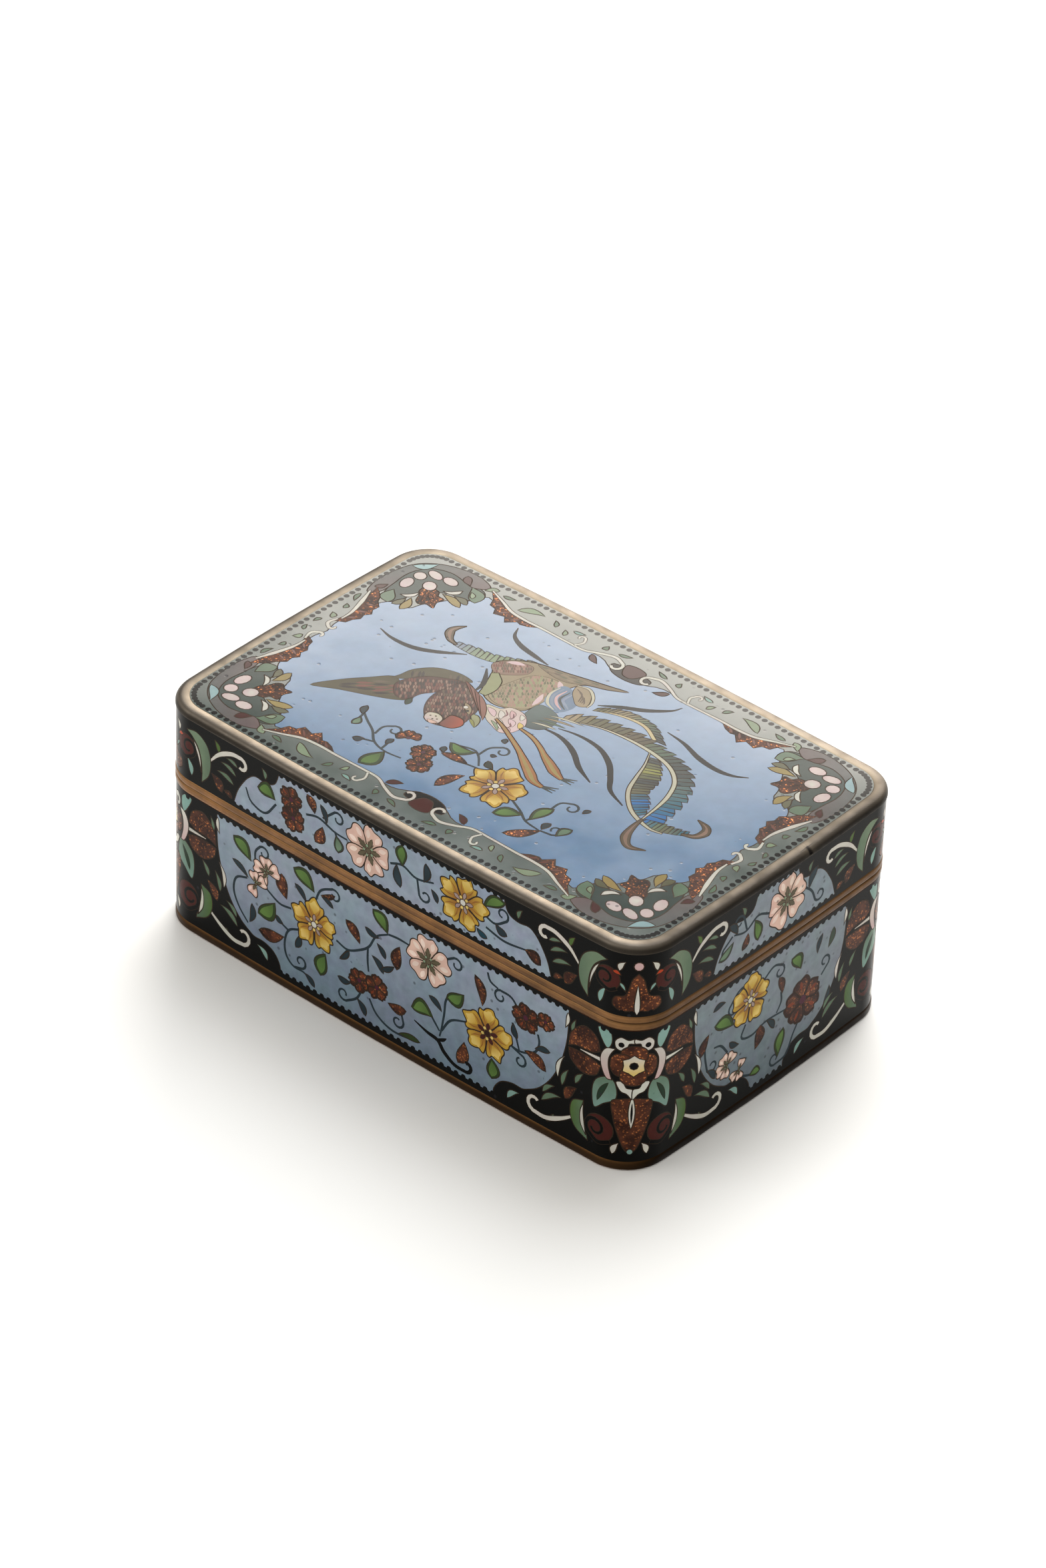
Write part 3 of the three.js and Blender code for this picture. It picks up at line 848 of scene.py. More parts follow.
def border_quarter(pen):
    pen.patch(NOSEGAY_BED, BORDER)
    pen.patch(CORNER_BAND, fade(ROSE, HAZE_GREY, 38, 66, (0.8, -0.6)))
    for base, tip, width, bend, colour in (
        ((24.4, -32.4), (29.6, -30.4), 1.8, -0.7, SAGE), ((18.6, -31.6), (17.6, -29.9), 1, 0.2, SAGE),
        ((9, -33.2), (9.4, -31.6), 1.2, 0.3, GREY_GREEN), ((54.6, -5.6), (53.4, -4), 1.3, 0.3, SAGE),
        ((54.6, -9.6), (54, -8), 1.1, 0.3, GREY_GREEN), ((6.8, -27), (9.6, -28.9), 1.4, 0.3, MAROON),
        ((22, -32.8), (20.6, -31), 1, 0.2, GREY_GREEN), ((3.2, -33.4), (6, -32.4), 0.9, 0.2, GREY_GREEN),
        ((32, -32.8), (34.8, -32.2), 1, 0.2, GREY_GREEN), ((38.6, -31), (36.4, -33), 1.5, 0.3, SAGE),
        ((14.6, -33), (17.2, -32.4), 0.9, 0.2, TURQUOISE), ((54.2, -11.2), (55, -14), 1, 0.3, GREY_GREEN),
        ((55.2, -0.8), (54.6, -2.6), 0.9, 0.2, GREY_GREEN), ((41.6, -30.4), (44.2, -32.6), 1.8, 0.3, MAROON),
        ((53.4, -20), (54.8, -17.6), 1.4, 0.3, MAROON),
    ):
        comma(pen, colour, base, tip, width, bend)
    # Serrated acanthus leaves along the white scrolls
    for leaf_edge, near, far, way in ((LONG_ACANTHUS, 24, 44, (1, -0.2)), (SHORT_ACANTHUS, 0, 22, (0, -1))):
        pen.cell(np.array(leaf_edge), fade(DARK_BROWN, BROWN, near, far, way), GOLDSTONE)
    for veins in (((24.6, -28.3), (26.2, -27.2)), ((27, -28.3), (28.4, -26.6)), ((30, -28.6), (31.8, -27)),
                  ((32.6, -29.6), (34, -28.6)), ((51.4, -6), (50, -7.2)), ((51.6, -9), (49.6, -9.9)),
                  ((52, -12), (50.2, -12.6))):
        pen.cell(blade(*veins, 0.6), ROSE_BROWN, wire=0.1)
    scroll = ((37.4, -32.1), (33.6, -30.6), (30, -29.1), (26, -28.7), (22, -28.8), (16, -28.7),
              (11.6, -28.8), (8.6, -30.2), (5.6, -31.2), (3.2, -30.4))
    pen.stroke(curled(scroll, -1, 1.5, 0.62), (0.4, 0.75, 0.7, 0.6, 0.65, 0.8, 0.7), WHITE, wire=0.14)
    pen.stroke(curled(((14, -28.8), (13.2, -30.6), (13.8, -32)), 1, 0.8, 0.6), (0.5, 0.6, 0.5), WHITE,
               wire=0.12)
    pen.line(((54.4, -16), (53, -12), (51.9, -8), (51.8, -5)), (0.4, 1, 0.8, 0.4), WHITE, wire=0.14)
    pen.stroke(curled(((52.3, -4.6), (52.8, -2.4), (51.6, -1.2)), 1, 0.8, 0.5), (0.5, 0.8, 0.6), WHITE,
               wire=0.12)
    # The corner's nosegay
    for base, tip, width, bend, colour in (
        ((41, -30.2), (37, -26.4), 3.2, 0.6, GREY_GREEN),
        ((51.4, -19.4), (49.4, -15.2), 3, -0.5, GREY_GREEN),
        ((43.6, -24.5), (38, -23.2), 1.9, 0.4, TAN_YELLOW), ((47, -19.4), (46, -15), 1.9, 0.4, TAN_YELLOW),
        ((41.4, -25.4), (37.6, -24.8), 1.6, 0.4, OLIVE), ((47.6, -18.6), (48.4, -15.4), 1.6, 0.3, OLIVE),
        ((51, -32), (54.4, -28), 1.9, 0.7, PALE_TURQUOISE), ((40, -28.8), (38.4, -27.2), 1.1, 0.2, SAGE),
    ):
        comma(pen, colour, base, tip, width, bend)
    trefoil = ((47.4, -24.6), (44.6, -24.6), (43.6, -23.4), (42, -23.2), (42.3, -21.4), (41.6, -19.6),
               (43.4, -19.7), (44.6, -18.8), (45.8, -19.4), (46.6, -21.2), (47.6, -22.4))
    pen.patch(trefoil, DARK_BROWN, GOLDSTONE)
    for tip in ((42.6, -20.6), (44.8, -19.8), (43, -22.6)):
        pen.cell(blade((46.2, -23.2), tip, 0.8, 0.2), BROWN, GOLDSTONE, wire=0.12)
    crescent(pen, ((44.2, -25.3), (42.4, -25.4), (41.2, -26.6), (41.4, -28)),
             ((44.2, -25.3), (42.9, -26.2), (42.2, -27.1), (41.4, -28)), WHITE)
    crescent(pen, ((47, -22), (46.9, -20.2), (47.9, -19), (49.4, -18.9)),
             ((47, -22), (47.7, -20.7), (48.5, -19.7), (49.4, -18.9)), WHITE)
    for x, y, wide, high, angle in (
        (45.3, -28.8, 3.6, 2.4, -8), (48.9, -28.5, 3.8, 2.2, -14), (50.9, -26.3, 2.6, 2.8, 60),
        (47.2, -24.9, 3.2, 2.8, -40), (51.2, -22.8, 2.5, 3.8, 12),
    ):
        pen.at(x, y, angle).cell(disc(0, 0, 0.5, 12) * (wide, high), fade(WHITE, PALE_ROSE, 0.2, 1.9))


def feathers(pen, region, ground, heading, size, colours, slim=0.5):
    """Fills a region with rows of short feathers that point along heading, in degrees."""
    region = anticlockwise(smooth(region, True, PATCH_STEPS))
    pen.cell(region, ground, wire=0.1)
    turn = math.radians(heading)
    along = np.array([math.cos(turn), math.sin(turn)])
    across = np.array([-along[1], along[0]])
    inside = grown(region, -0.3 * size)
    reach, spread = inside @ along, inside @ across
    for index, r in enumerate(np.arange(reach.max(), reach.min(), -size * 0.85)):
        start = spread.min() - (index % 2) * size * slim * 0.6
        spots = np.array([r * along + a * across for a in np.arange(start, spread.max(), size * slim * 1.2)])
        for x, y in spots[covered(inside, spots)]:
            place = pen.at(x, y, heading + dice.uniform(-9, 9), dice.uniform(0.85, 1.1))
            place.cell(blade((-size * 0.6, 0), (size * 0.5, 0), size * slim, 0, 0.6, 5),
                       dice.choice(colours), wire=0)


def plume(pen, quill, fringe, colours, teeth, hook=0.9):
    """A vane between a quill and a toothed fringe, coloured from root to tip."""
    inner, outer = (spaced(smooth(line), teeth) for line in (quill, fringe))
    for k in range(teeth):
        reach = outer[k + 1] - inner[k + 1]
        away = reach / np.hypot(*reach)
        tip = outer[k + 1] + away * hook
        swell = 0.45 * outer[k] + 0.55 * outer[k + 1] + away * hook * 0.8
        tone = blend(colours, k / (teeth - 1))
        pale = blend((tone, CREAM), 0.2)
        root = inner[k]
        shape = np.array([inner[k], inner[k + 1], outer[k + 1], tip, swell, outer[k]]) - root
        pen.at(*root).cell(shape, fade(pale, tone, 0.2, 1.4), wire=0.2)
        barb = np.array([0.6 * inner[k] + 0.4 * inner[k + 1], swell])
        pen.stroke(barb, (0.14, 0.42), DARK_UMBER)


def curl(pen, points):
    """The brown curl at the tip of a plume."""
    path = smooth(points)
    pen.cell(ribbon(path, (0.5, 1.2, 1.9, 1.3, 0.2)), UMBER)
    pen.stroke(path[3:-3], (0.1, 0.4, 0.8, 0.4, 0.1), blend((ROSY_TAN, UMBER), 0.4))


STREAMERS = (
    ((-25.4, 25.8), (-24, 23.2), (-21, 21.6), (-17, 20.8), (-13, 20.2)),
    ((-44.2, 7.6), (-40.5, 6.7), (-36, 6.9), (-32, 8.5), (-26.4, 12.3)),
    ((14.3, 27), (13.4, 24.8), (10, 21.6), (6, 19.2), (2.4, 16.6)),
    ((17.4, 19), (22, 18.3), (27, 16.6), (31.6, 16), (35, 16.6), (37.6, 18.2)),
    ((2, 5.8), (5.4, 6.6), (9, 6.7), (12.6, 5.9), (16.4, 3.6), (19.4, 0.4), (22, -2.6), (26.6, -4.6)),
    ((-1.4, 3.8), (3, 4.1), (6.4, 3.3), (9.6, 1.6), (13, -1), (17.6, -3.2)),
)
BACK = ((-20.8, 14.4), (-18.4, 17.2), (-14.6, 19.4), (-9, 20.7), (-4, 22), (0, 23), (3.8, 23.9), (0.4, 21.7),
        (-3.6, 20), (-5, 17.4), (-6, 14), (-6, 10), (-6.2, 6), (-9, 4.2), (-12.4, 3.4), (-16, 5),
        (-17.4, 9), (-19.4, 11.6))
FAR_WING = ((-14.6, 19.2), (-9, 20.6), (-4, 21.9), (0, 22.9), (3.8, 23.9), (0.4, 21.8), (-3.6, 20.2),
            (-6.4, 18.4), (-10, 18))
BODY = ((-14.4, 11), (-12.4, 16), (-7.4, 17.4), (-5.8, 13.6), (-6, 7.2), (-9, 4.6), (-12.4, 4), (-15, 5.8))
SHOULDER = ((-20.8, 14.2), (-18.2, 16.8), (-14.6, 17.8), (-13.8, 15.2), (-16.4, 12.4), (-18.4, 11.4),
            (-20.4, 12.4))
LONG_PINIONS = ((-28.6, -3.4), (-31.6, -2.6), (-34.6, -6), (-38, -10.2), (-41, -15.4), (-36, -12.9),
                (-30, -10.2), (-25.6, -7.8), (-24, -5.4))
SHORT_PINIONS = ((-19.4, 6), (-22, 6.7), (-25, 6.2), (-28, 4.7), (-30.4, 1.6), (-31, -1.4), (-31.4, -3.2),
                 (-28, -0.6), (-26, 2.2), (-22.6, 3.8))
COVERTS = ((-20.6, 4.8), (-24, 3.6), (-27, 1.6), (-29.2, -1.6), (-29.6, -4.4), (-27.2, -7), (-24.6, -6.6),
           (-23.8, -3.4), (-22, -0.6))
NECK = ((-20.4, 5.2), (-22, 0.2), (-21.8, -3.6), (-20, -7), (-17, -9.2), (-13.8, -8.4), (-11.8, -5.8),
        (-12, -2.6), (-13, 0.6), (-16, 3.6))
BREAST = ((-12.8, 2.4), (-10, 3.2), (-8.6, 4.9), (-5.4, 4.9), (-3, 2.4), (-3.2, -1), (-5, -2.7), (-7.6, -2),
          (-10.2, -0.8))
LEGS = (
    (((-3, 0.9), (0.4, 0.3), (3.4, -1), (6, -2.6), (8.4, -3.9), (10.8, -5.2), (13.2, -6.1)), (15.6, -5.3)),
    (((-8.4, 0.2), (-5.6, -0.9), (-2.6, -2.4), (1.2, -4.4), (4.6, -6.6), (7.6, -8.6), (9.8, -10),
      (12.2, -10.4)), (14.8, -9.6)),
)


def tail(pen):
    """The streamers and the three plumes, with the small one that shows behind the back."""
    for points in STREAMERS:
        pen.line(points, (0.25, 0.9, 1.25, 1.1, 0.3), BLACK)
    plume(pen, ((-14.6, 18), (-18, 15.4), (-22, 13.4), (-26, 12.8), (-30.6, 13)),
          ((-15, 19.4), (-19, 17.2), (-23, 15.4), (-26.6, 15), (-30.4, 14)), (OLIVE, SAGE, SAGE, PALE_BLUE),
          8, 0.5)
    curl(pen, ((-30, 13.4), (-32.2, 14), (-33.9, 16), (-33.8, 17.6), (-32.8, 19.4)))
    plume(pen, ((2.8, 14.6), (7, 16.8), (11, 17.7), (14, 17.3), (17.6, 15.2)),
          ((3, 16), (7, 18.6), (11, 19.2), (15, 18.6), (19.6, 15.4)), (OLIVE, TAN, GREY_GREEN, SLATE), 9,
          0.5)
    pen.line(((4, 15.4), (7, 16.8), (11, 17.6), (14, 17.2), (17.4, 15.3)), (0.2, 0.5, 0.7, 0.8, 0.8), CREAM,
             wire=0.14)
    plume(pen, ((20.4, 10.6), (21.6, 7.6), (23, 4), (24.6, 0), (27, -2.8), (30.6, -5.2)),
          ((22, 11), (24.6, 8.4), (26.6, 5), (27.2, 1.4), (29.6, -0.8), (31.2, -4)),
          (SLATE, YELLOW_GREEN, SLATE, OLIVE, BRIGHT_BLUE, TEAL), 11, 0.5)
    plume(pen, ((31.6, -6), (34.6, -6.5), (38, -5.6), (41, -3.8)),
          ((31.8, -4.6), (35, -4.2), (38, -3.6), (40.8, -2.8)), (BRIGHT_BLUE, GREY_GREEN, OLIVE, TEAL), 6,
          0.6)
    curl(pen, ((40, -3.9), (42.2, -2.8), (42.9, -0.8), (42, 0.8), (39.4, 1.6)))
    plume(pen,
          ((0.6, 8.2), (4, 10.2), (8, 11.5), (14, 12.3), (20, 12), (25, 10.7), (28.6, 7.9), (30.6, 4),
           (31.4, 0), (31.9, -5)),
          ((0.4, 10), (4, 12.5), (8, 13.6), (14, 14.5), (20, 14), (25.6, 13), (30, 10.4), (32.8, 6),
           (34.2, 1), (34.6, -4)),
          (TAN, OLIVE, OLIVE, UMBER, GREY_GREEN, SLATE, SLATE, TEAL_GREY, TEAL, BRIGHT_BLUE), 18, 1.1)
    for quill in (((3.6, 9.9), (8, 11.5), (14, 12.2), (20, 11.9), (25, 10.6), (28.6, 7.8), (30.5, 4),
                   (31.4, 0), (31.9, -5.4)),
                  ((19.4, 11.6), (21.2, 8), (22.6, 4), (24.2, 0), (26.8, -3.1), (30, -5.3), (34.6, -6.6),
                   (37.4, -6.2))):
        pen.line(quill, (0.3, 0.6, 0.9, 0.9, 0.9, 0.4), PALE_CREAM, wire=0.2)
    curl(pen, ((31.9, -5.2), (32.3, -8.6), (33.3, -11.6), (35.6, -13.4), (38.6, -12.2)))


def bird(pen):
    """A phoenix in flight, of the kind that is common on such boxes."""
    tail(pen)
    shaded_tan = blend((TAN, UMBER), 0.3)
    dull_rose = blend((ROSY_TAN, UMBER), 0.35)
    pen.patch(BACK, fade(TAN, shaded_tan, 6, 22, (0.3, 0.95)))
    feathers(pen, FAR_WING, blend((TAN, UMBER), 0.5), 12, 1.8, (shaded_tan, UMBER, OLIVE), 0.3)
    feathers(pen, BODY, TAN, -48, 1.1, (shaded_tan, ROSY_TAN, OLIVE, PALE_OLIVE), 0.4)
    feathers(pen, SHOULDER, dull_rose, -48, 1.1, (ROSY_TAN, ROSE_BROWN, UMBER), 0.34)
    for base, tip in (((-19.4, 15.6), (-16, 17.2)), ((-7.4, 12.4), (-6.4, 8)), ((-8, 17.6), (-6, 15.4))):
        pen.cell(blade(base, tip, 1.1, 0.2), PALE_ROSE, wire=0)
    pen.cell(ribbon(smooth(((-18.5, 11.4), (-16.6, 9), (-15.8, 6.6), (-15.6, 4.4))), (1.4, 2.8, 2.8, 1.6)),
             PALE_OLIVE)
    pen.line(((-20.6, 11.4), (-18.8, 9), (-17.6, 6.8), (-17.3, 4.6)), (0.3, 0.9, 1.1, 0.5), BLACK)
    # The root of the tail, with loose feathers that curl over it
    root = ((-5.8, 8.8), (-3.6, 9.6), (-0.4, 8.6), (0.8, 5.8), (-0.2, 3), (-3.2, 2), (-5.4, 4.4))
    pen.patch(root, fade(SLATE, HAZE_GREY, 0, 7, (-0.6, 0.8)), wire=0.1)
    pen.patch(((-6.6, 16.6), (-4, 17), (-0.4, 13.8), (-1, 10.2), (-3.4, 9.6), (-6.2, 11.4)), BLUE_GREY,
              wire=0)
    for step, tint in enumerate((PALE_CREAM, PALE_BLUE, MAUVE, SLATE, PALE_BLUE)):
        near = 0.8 * step
        path = ((-6.4 + near, 16.2), (-6.5 + near, 13.4), (-5 + near, 10.8 + 0.5 * near),
                (-2.6 + 0.6 * near, 9.8 + 0.6 * near))
        pen.line(path, (0.2, 0.5, 0.6, 0.2), tint)
    for k, tint in enumerate((PALE_CREAM, GREY_GREEN, TAN, PALE_CREAM)):
        pen.cell(blade((-3 + 0.3 * k, 3.8 + 1.3 * k), (2.2 + k, 5.2 + 1.5 * k), 0.55, 0.3), tint, wire=0.1)
    loose = ((-4.4, 19), (-1.8, 19.2), (0.1, 17.4), (1.2, 14.8), (-0.4, 13.8), (-2.2, 15), (-3.9, 16.8))
    pen.patch(loose, TAN, wire=0.12)
    for k in range(4):
        pen.line(((-3.8 + 0.9 * k, 18 - 0.4 * k), (-2 + 0.7 * k, 17.2 - 0.6 * k), (-1 + 0.4 * k, 15)),
                 (0.2, 0.35, 0.2), UMBER)
    pen.line(((-4.6, 18.9), (-2.2, 19.5), (0, 18.1), (1.2, 16.2), (1.4, 14.6)), (0.3, 0.6, 0.7, 0.6, 0.3),
             PALE_CREAM, wire=0.12)
    # Legs and breast
    pen.patch(BREAST, fade(PALE_CREAM, PALE_ROSE, -12, -3, (1, 0)), wire=0.12)
    for base, tip, width, tint in (
        ((-12, 2), (-9, 0.4), 1.3, PALE_ROSE), ((-9.6, 2.9), (-7.8, 0.6), 1.2, WHITE),
        ((-8.6, 0.6), (-5.6, -1.8), 1.2, WHITE), ((-8, 4.2), (-6.4, 2.2), 1.2, MAUVE),
        ((-6.6, 1.8), (-4.4, 0.2), 1.3, PALE_ROSE), ((-5.8, 4.4), (-4.6, 2.8), 1, WHITE),
        ((-4.4, 2.2), (-3.2, 0.6), 1.1, PALE_YELLOW), ((-5.4, -0.6), (-3.8, -1.8), 0.9, MAUVE),
        ((-8.8, -0.8), (-5.6, -2.6), 0.7, SAGE),
    ):
        pen.cell(blade(base, tip, width, 0.3), tint, wire=0.1)
    for arc in (((-8.9, 3.6), (-7.7, 2.6), (-7.8, 1.4)), ((-7, 3.6), (-6.2, 2.6), (-6.6, 1.8)),
                ((-5.6, 1), (-4.8, 0.2), (-5, -0.8))):
        pen.line(arc, (0.15, 0.35, 0.15), ROSE)
    for points, claw in LEGS:
        for lift in (-0.9, 0, 0.9):
            pen.stroke((np.array(points[-1]) - (0.4, 0), (claw[0], claw[1] + lift)), (0.7, 0.25), SLATE)
        path = smooth(points)
        pen.cell(ribbon(path, (0.6, 0.9, 1, 1.2, 1.9, 2.2, 0.9)), fade(ORANGE, ROSY_ORANGE, 4, 14, (1, 0)))
        pen.stroke(path, (0.1, 0.3, 0.35, 0.4, 0.7, 0.8, 0.2), TAN_YELLOW)
    # The near wing: long pinions to the tip, short ones above, and rows of coverts
    feathers(pen, LONG_PINIONS, OLIVE_BROWN, 222, 3.6, (UMBER, ROSE_BROWN, DARK_UMBER), 0.22)
    feathers(pen, SHORT_PINIONS, OLIVE_BROWN, 122, 2.5, (DARK_UMBER, DARK_UMBER, UMBER), 0.22)
    feathers(pen, COVERTS, blend((ROSE_BROWN, DARK_BROWN), 0.6), 128, 1.3,
             (dull_rose, ROSE_BROWN, DARK_UMBER), 0.32)
    pen.cell(blade((-24.3, -5.6), (-23.6, -8), 1.3), DARK_GREEN, wire=0.14)
    # Neck, ruff and head
    feathers(pen, NECK, blend((ROSE_BROWN, DARK_BROWN), 0.7), 128, 1.2,
             (dull_rose, UMBER, ROSE_BROWN, DARK_BROWN), 0.34)
    cheek = ((-18.9, -6.9), (-17.3, -6), (-15.5, -6.6), (-15.2, -8.4), (-16.8, -9.3), (-18.5, -8.6))
    pen.patch(cheek, fade(PALE_CREAM, PALE_ROSE, 6, 9, (0, -1)))
    pen.cell(blade((-17.6, -8.7), (-15.4, -8.3), 1, -0.3), PINK, wire=0.1)
    for x, y in ((-17.9, -7.4), (-17, -6.9), (-16.2, -7.5), (-16.9, -8)):
        pen.cell(disc(x, y, 0.22, 7), UMBER, wire=0)
    pen.patch(((-15, -4.6), (-12.6, -4.3), (-11.4, -5.8), (-12.3, -7.9), (-14.8, -8.5), (-15.2, -6.4)),
             fade(ORANGE_RED, ROSE_BROWN, 12.2, 16.6))
    for k in range(4):
        base = (-20.8 + 1.6 * k, 5.6 - 0.5 * k)
        tip = (-13.4 + 1.2 * k, 0.6 - 0.9 * k)
        pen.cell(blade(base, tip, 1.2, 0.5), blend((ROSE_BROWN, ROSY_TAN), 0.4 * (k % 2)), wire=0.14)
    pen.cell(blade((-16, 0.2), (-12.8, -2.4), 1.3, 0.2), TAN, wire=0.16)
    pen.cell(disc(-14.9, -0.9, 0.5, 9), WHITE, wire=0.1)
    pen.cell(disc(-13.9, -1.6, 0.35, 8), BLACK, wire=0)
    pen.cell(blade((-12.4, -1.6), (-9.4, -4.8), 1.7, 0.4, 0.35), PALE_OLIVE)
    pen.cell(blade((-11.8, -3.2), (-9.5, -4.8), 0.7, 0.1, 0.35), YELLOW_GREEN, wire=0.1)


TOP_STEMS = (
    (((-28, -14.8), (-25.4, -16.6), (-22.4, -18.4), (-19.8, -20.8), (-16.4, -21.8), (-12.6, -21.4)), 0),
    (((-27.2, -15.8), (-26.8, -18)), 0),
    (((-21.4, -18.9), (-21.7, -16.2), (-20.2, -14.5)), -1),
    (((-19.8, -20.9), (-22.6, -21.9)), 0),
    (((-17.3, -21.6), (-17.6, -19.2)), 0),
    (((-9.4, -14.2), (-6, -15.2), (-2.2, -14.4), (0.6, -14)), 0),
    (((-8.8, -11.6), (-5, -10.2), (-2.8, -11), (-0.6, -13.4)), 0),
    (((-3, -10.8), (-2.9, -7.8), (-1.2, -5.9)), -1),
    (((11, -17.2), (14.4, -18.8), (17, -20.4), (20.6, -20.9)), 0),
    (((16.9, -20.2), (17.7, -16.8)), 0),
    (((17.9, -14.4), (18, -11.8), (20, -10.4)), -1),
    (((20.8, -20.8), (23.2, -20.4)), 1),
)
TOP_LEAVES = (
    (GREEN, (-3.6, -10.5), (-9.4, -11.4), 2.8, 1.3),
    (GREEN, (-16.2, -21.9), (-17.4, -27.8), 3.8, 0.6),
    (GREEN, (17.2, -19.8), (18.4, -14), 2.6, 0.5),
    (GREEN, (15.4, -19.4), (10.8, -22.6), 3, -0.6),
    (BROWN, (-2.4, -14.4), (-8.4, -15), 1.8, -0.4),
    (BROWN, (-0.4, -17.4), (-2.4, -23.6), 2.4, -0.6),
    (BROWN, (21, -20.6), (16.2, -26), 2.3, 0.5),
    (STEM, (-27.2, -15.8), (-28.5, -13.1), 1.5, 0.3),
    (GREY_GREEN, (-26.9, -16.6), (-26.7, -19.4), 1.8, 0.3),
    (STEM, (-21.8, -21.3), (-23.6, -22.6), 1.6, 0.3),
    (STEM, (-17.7, -20), (-17.6, -17.8), 1.3, 0.2),
    (STEM, (-8.2, -14.6), (-9.2, -13), 1.3, 0.2),
    (STEM, (20.8, -20.4), (20.9, -17.8), 1.5, 0.3),
    (GREY_GREEN, (24, -20.2), (25, -16.6), 2.2, 0.4),
    (STEM, (23, -11.6), (23.6, -9.8), 1.1, 0.2),
    (STEM, (-1.8, -4.8), (-2.6, -3.4), 1.2, 0.2),
    (STEM, (-0.2, -8.8), (-1.4, -9.2), 1, 0.2),
    (DARK_GREEN, (2, -12.4), (-0.4, -11), 1.6, 0.4),
)
TOP_FLOWERS = (
    ("brown", -16, -15.6, 2.5, 120, (3, 2)),
    ("brown", -10.9, -17.2, 2.6, 40, ()),
    ("brown", -8.9, -20.6, 2.6, 200, ()),
    ("yellow", 5.8, -16, 6.3, 20, ()),
)


def top_drawing():
    pen = Pen()
    half = smooth(PICTURE, steps=3)
    right = np.vstack([half, (half * (1, -1))[-2:0:-1]])
    pen.cell(np.vstack([right, (half * (-1, -1))[:-1], (half * (-1, 1))[::-1][:-1]]), TOP_GROUND, GROUND)
    for side in (pen, pen.at(angle=180)):
        side.patch(((-4.6, -29.4), (-3.6, -27.2), (0, -26.4), (3.6, -27.2), (4.6, -29.4), (0, -30)), BLACK)
        side.patch(((-2.4, -30.6), (-1.4, -28), (0, -27.4), (1.4, -28), (2.4, -30.6), (0, -31.4)), MAROON)
    for quarter in quarters(pen):
        border_quarter(quarter)
    spray(pen, TOP_STEMS, TOP_LEAVES, TOP_FLOWERS)
    bird(pen)
    spots, out = around([s for s, _ in row_at(0, TOP_PITCH)])
    bead_row(pen, spots - out * TOP_BEADS_INSET)
    return pen.cells


# ---------------------------------------------------------------- from drawings to meshes
CUT_TOLERANCE = 2e-3  # points nearer to one another than this are one point


def facets(cells, border, marks, base_tint, base_kind):
    """Cuts the plane inside a border along every cell's outline and the marks. Returns the points, the
    triangles, the colour of each corner and the kind of enamel of each triangle, from the cell
    drawn last over it."""
    points, edges = [], []
    for outline in [border] + [c[0] for c in cells]:
        first = len(points)
        points.extend(outline)
        edges.extend((first + i, first + (i + 1) % len(outline)) for i in range(len(outline)))
    for line in marks:
        edges.append((len(points), len(points) + 1))
        points.extend(line)
    cut = geometry.delaunay_2d_cdt([Vector(p) for p in points], edges, [], 0, CUT_TOLERANCE, False)
    points = np.array([tuple(p) for p in cut[0]])
    triangles = np.array(cut[2])
    middles = points[triangles].mean(1)
    keep = covered(border, middles)
    used, triangles = np.unique(triangles[keep], return_inverse=True)
    points, middles, triangles = points[used], middles[keep], triangles.reshape(-1, 3)
    tints = np.empty((len(triangles), 3, 3))
    tints[:] = linear(base_tint)
    kinds = np.full(len(triangles), base_kind)
    owner = np.full(len(triangles), -1)
    for index, (outline, _, _) in enumerate(cells):
        low, high = outline.min(0), outline.max(0)
        near = np.flatnonzero(((middles > low) & (middles < high)).all(1))
        owner[near[covered(outline, middles[near])]] = index
    for index in np.unique(owner[owner >= 0]):
        _, tint, kind = cells[index]
        mine = np.flatnonzero(owner == index)
        tints[mine] = tint(points[triangles[mine]].reshape(-1, 2)).reshape(-1, 3, 3)
        kinds[mine] = kind
    return points, triangles, tints, kinds


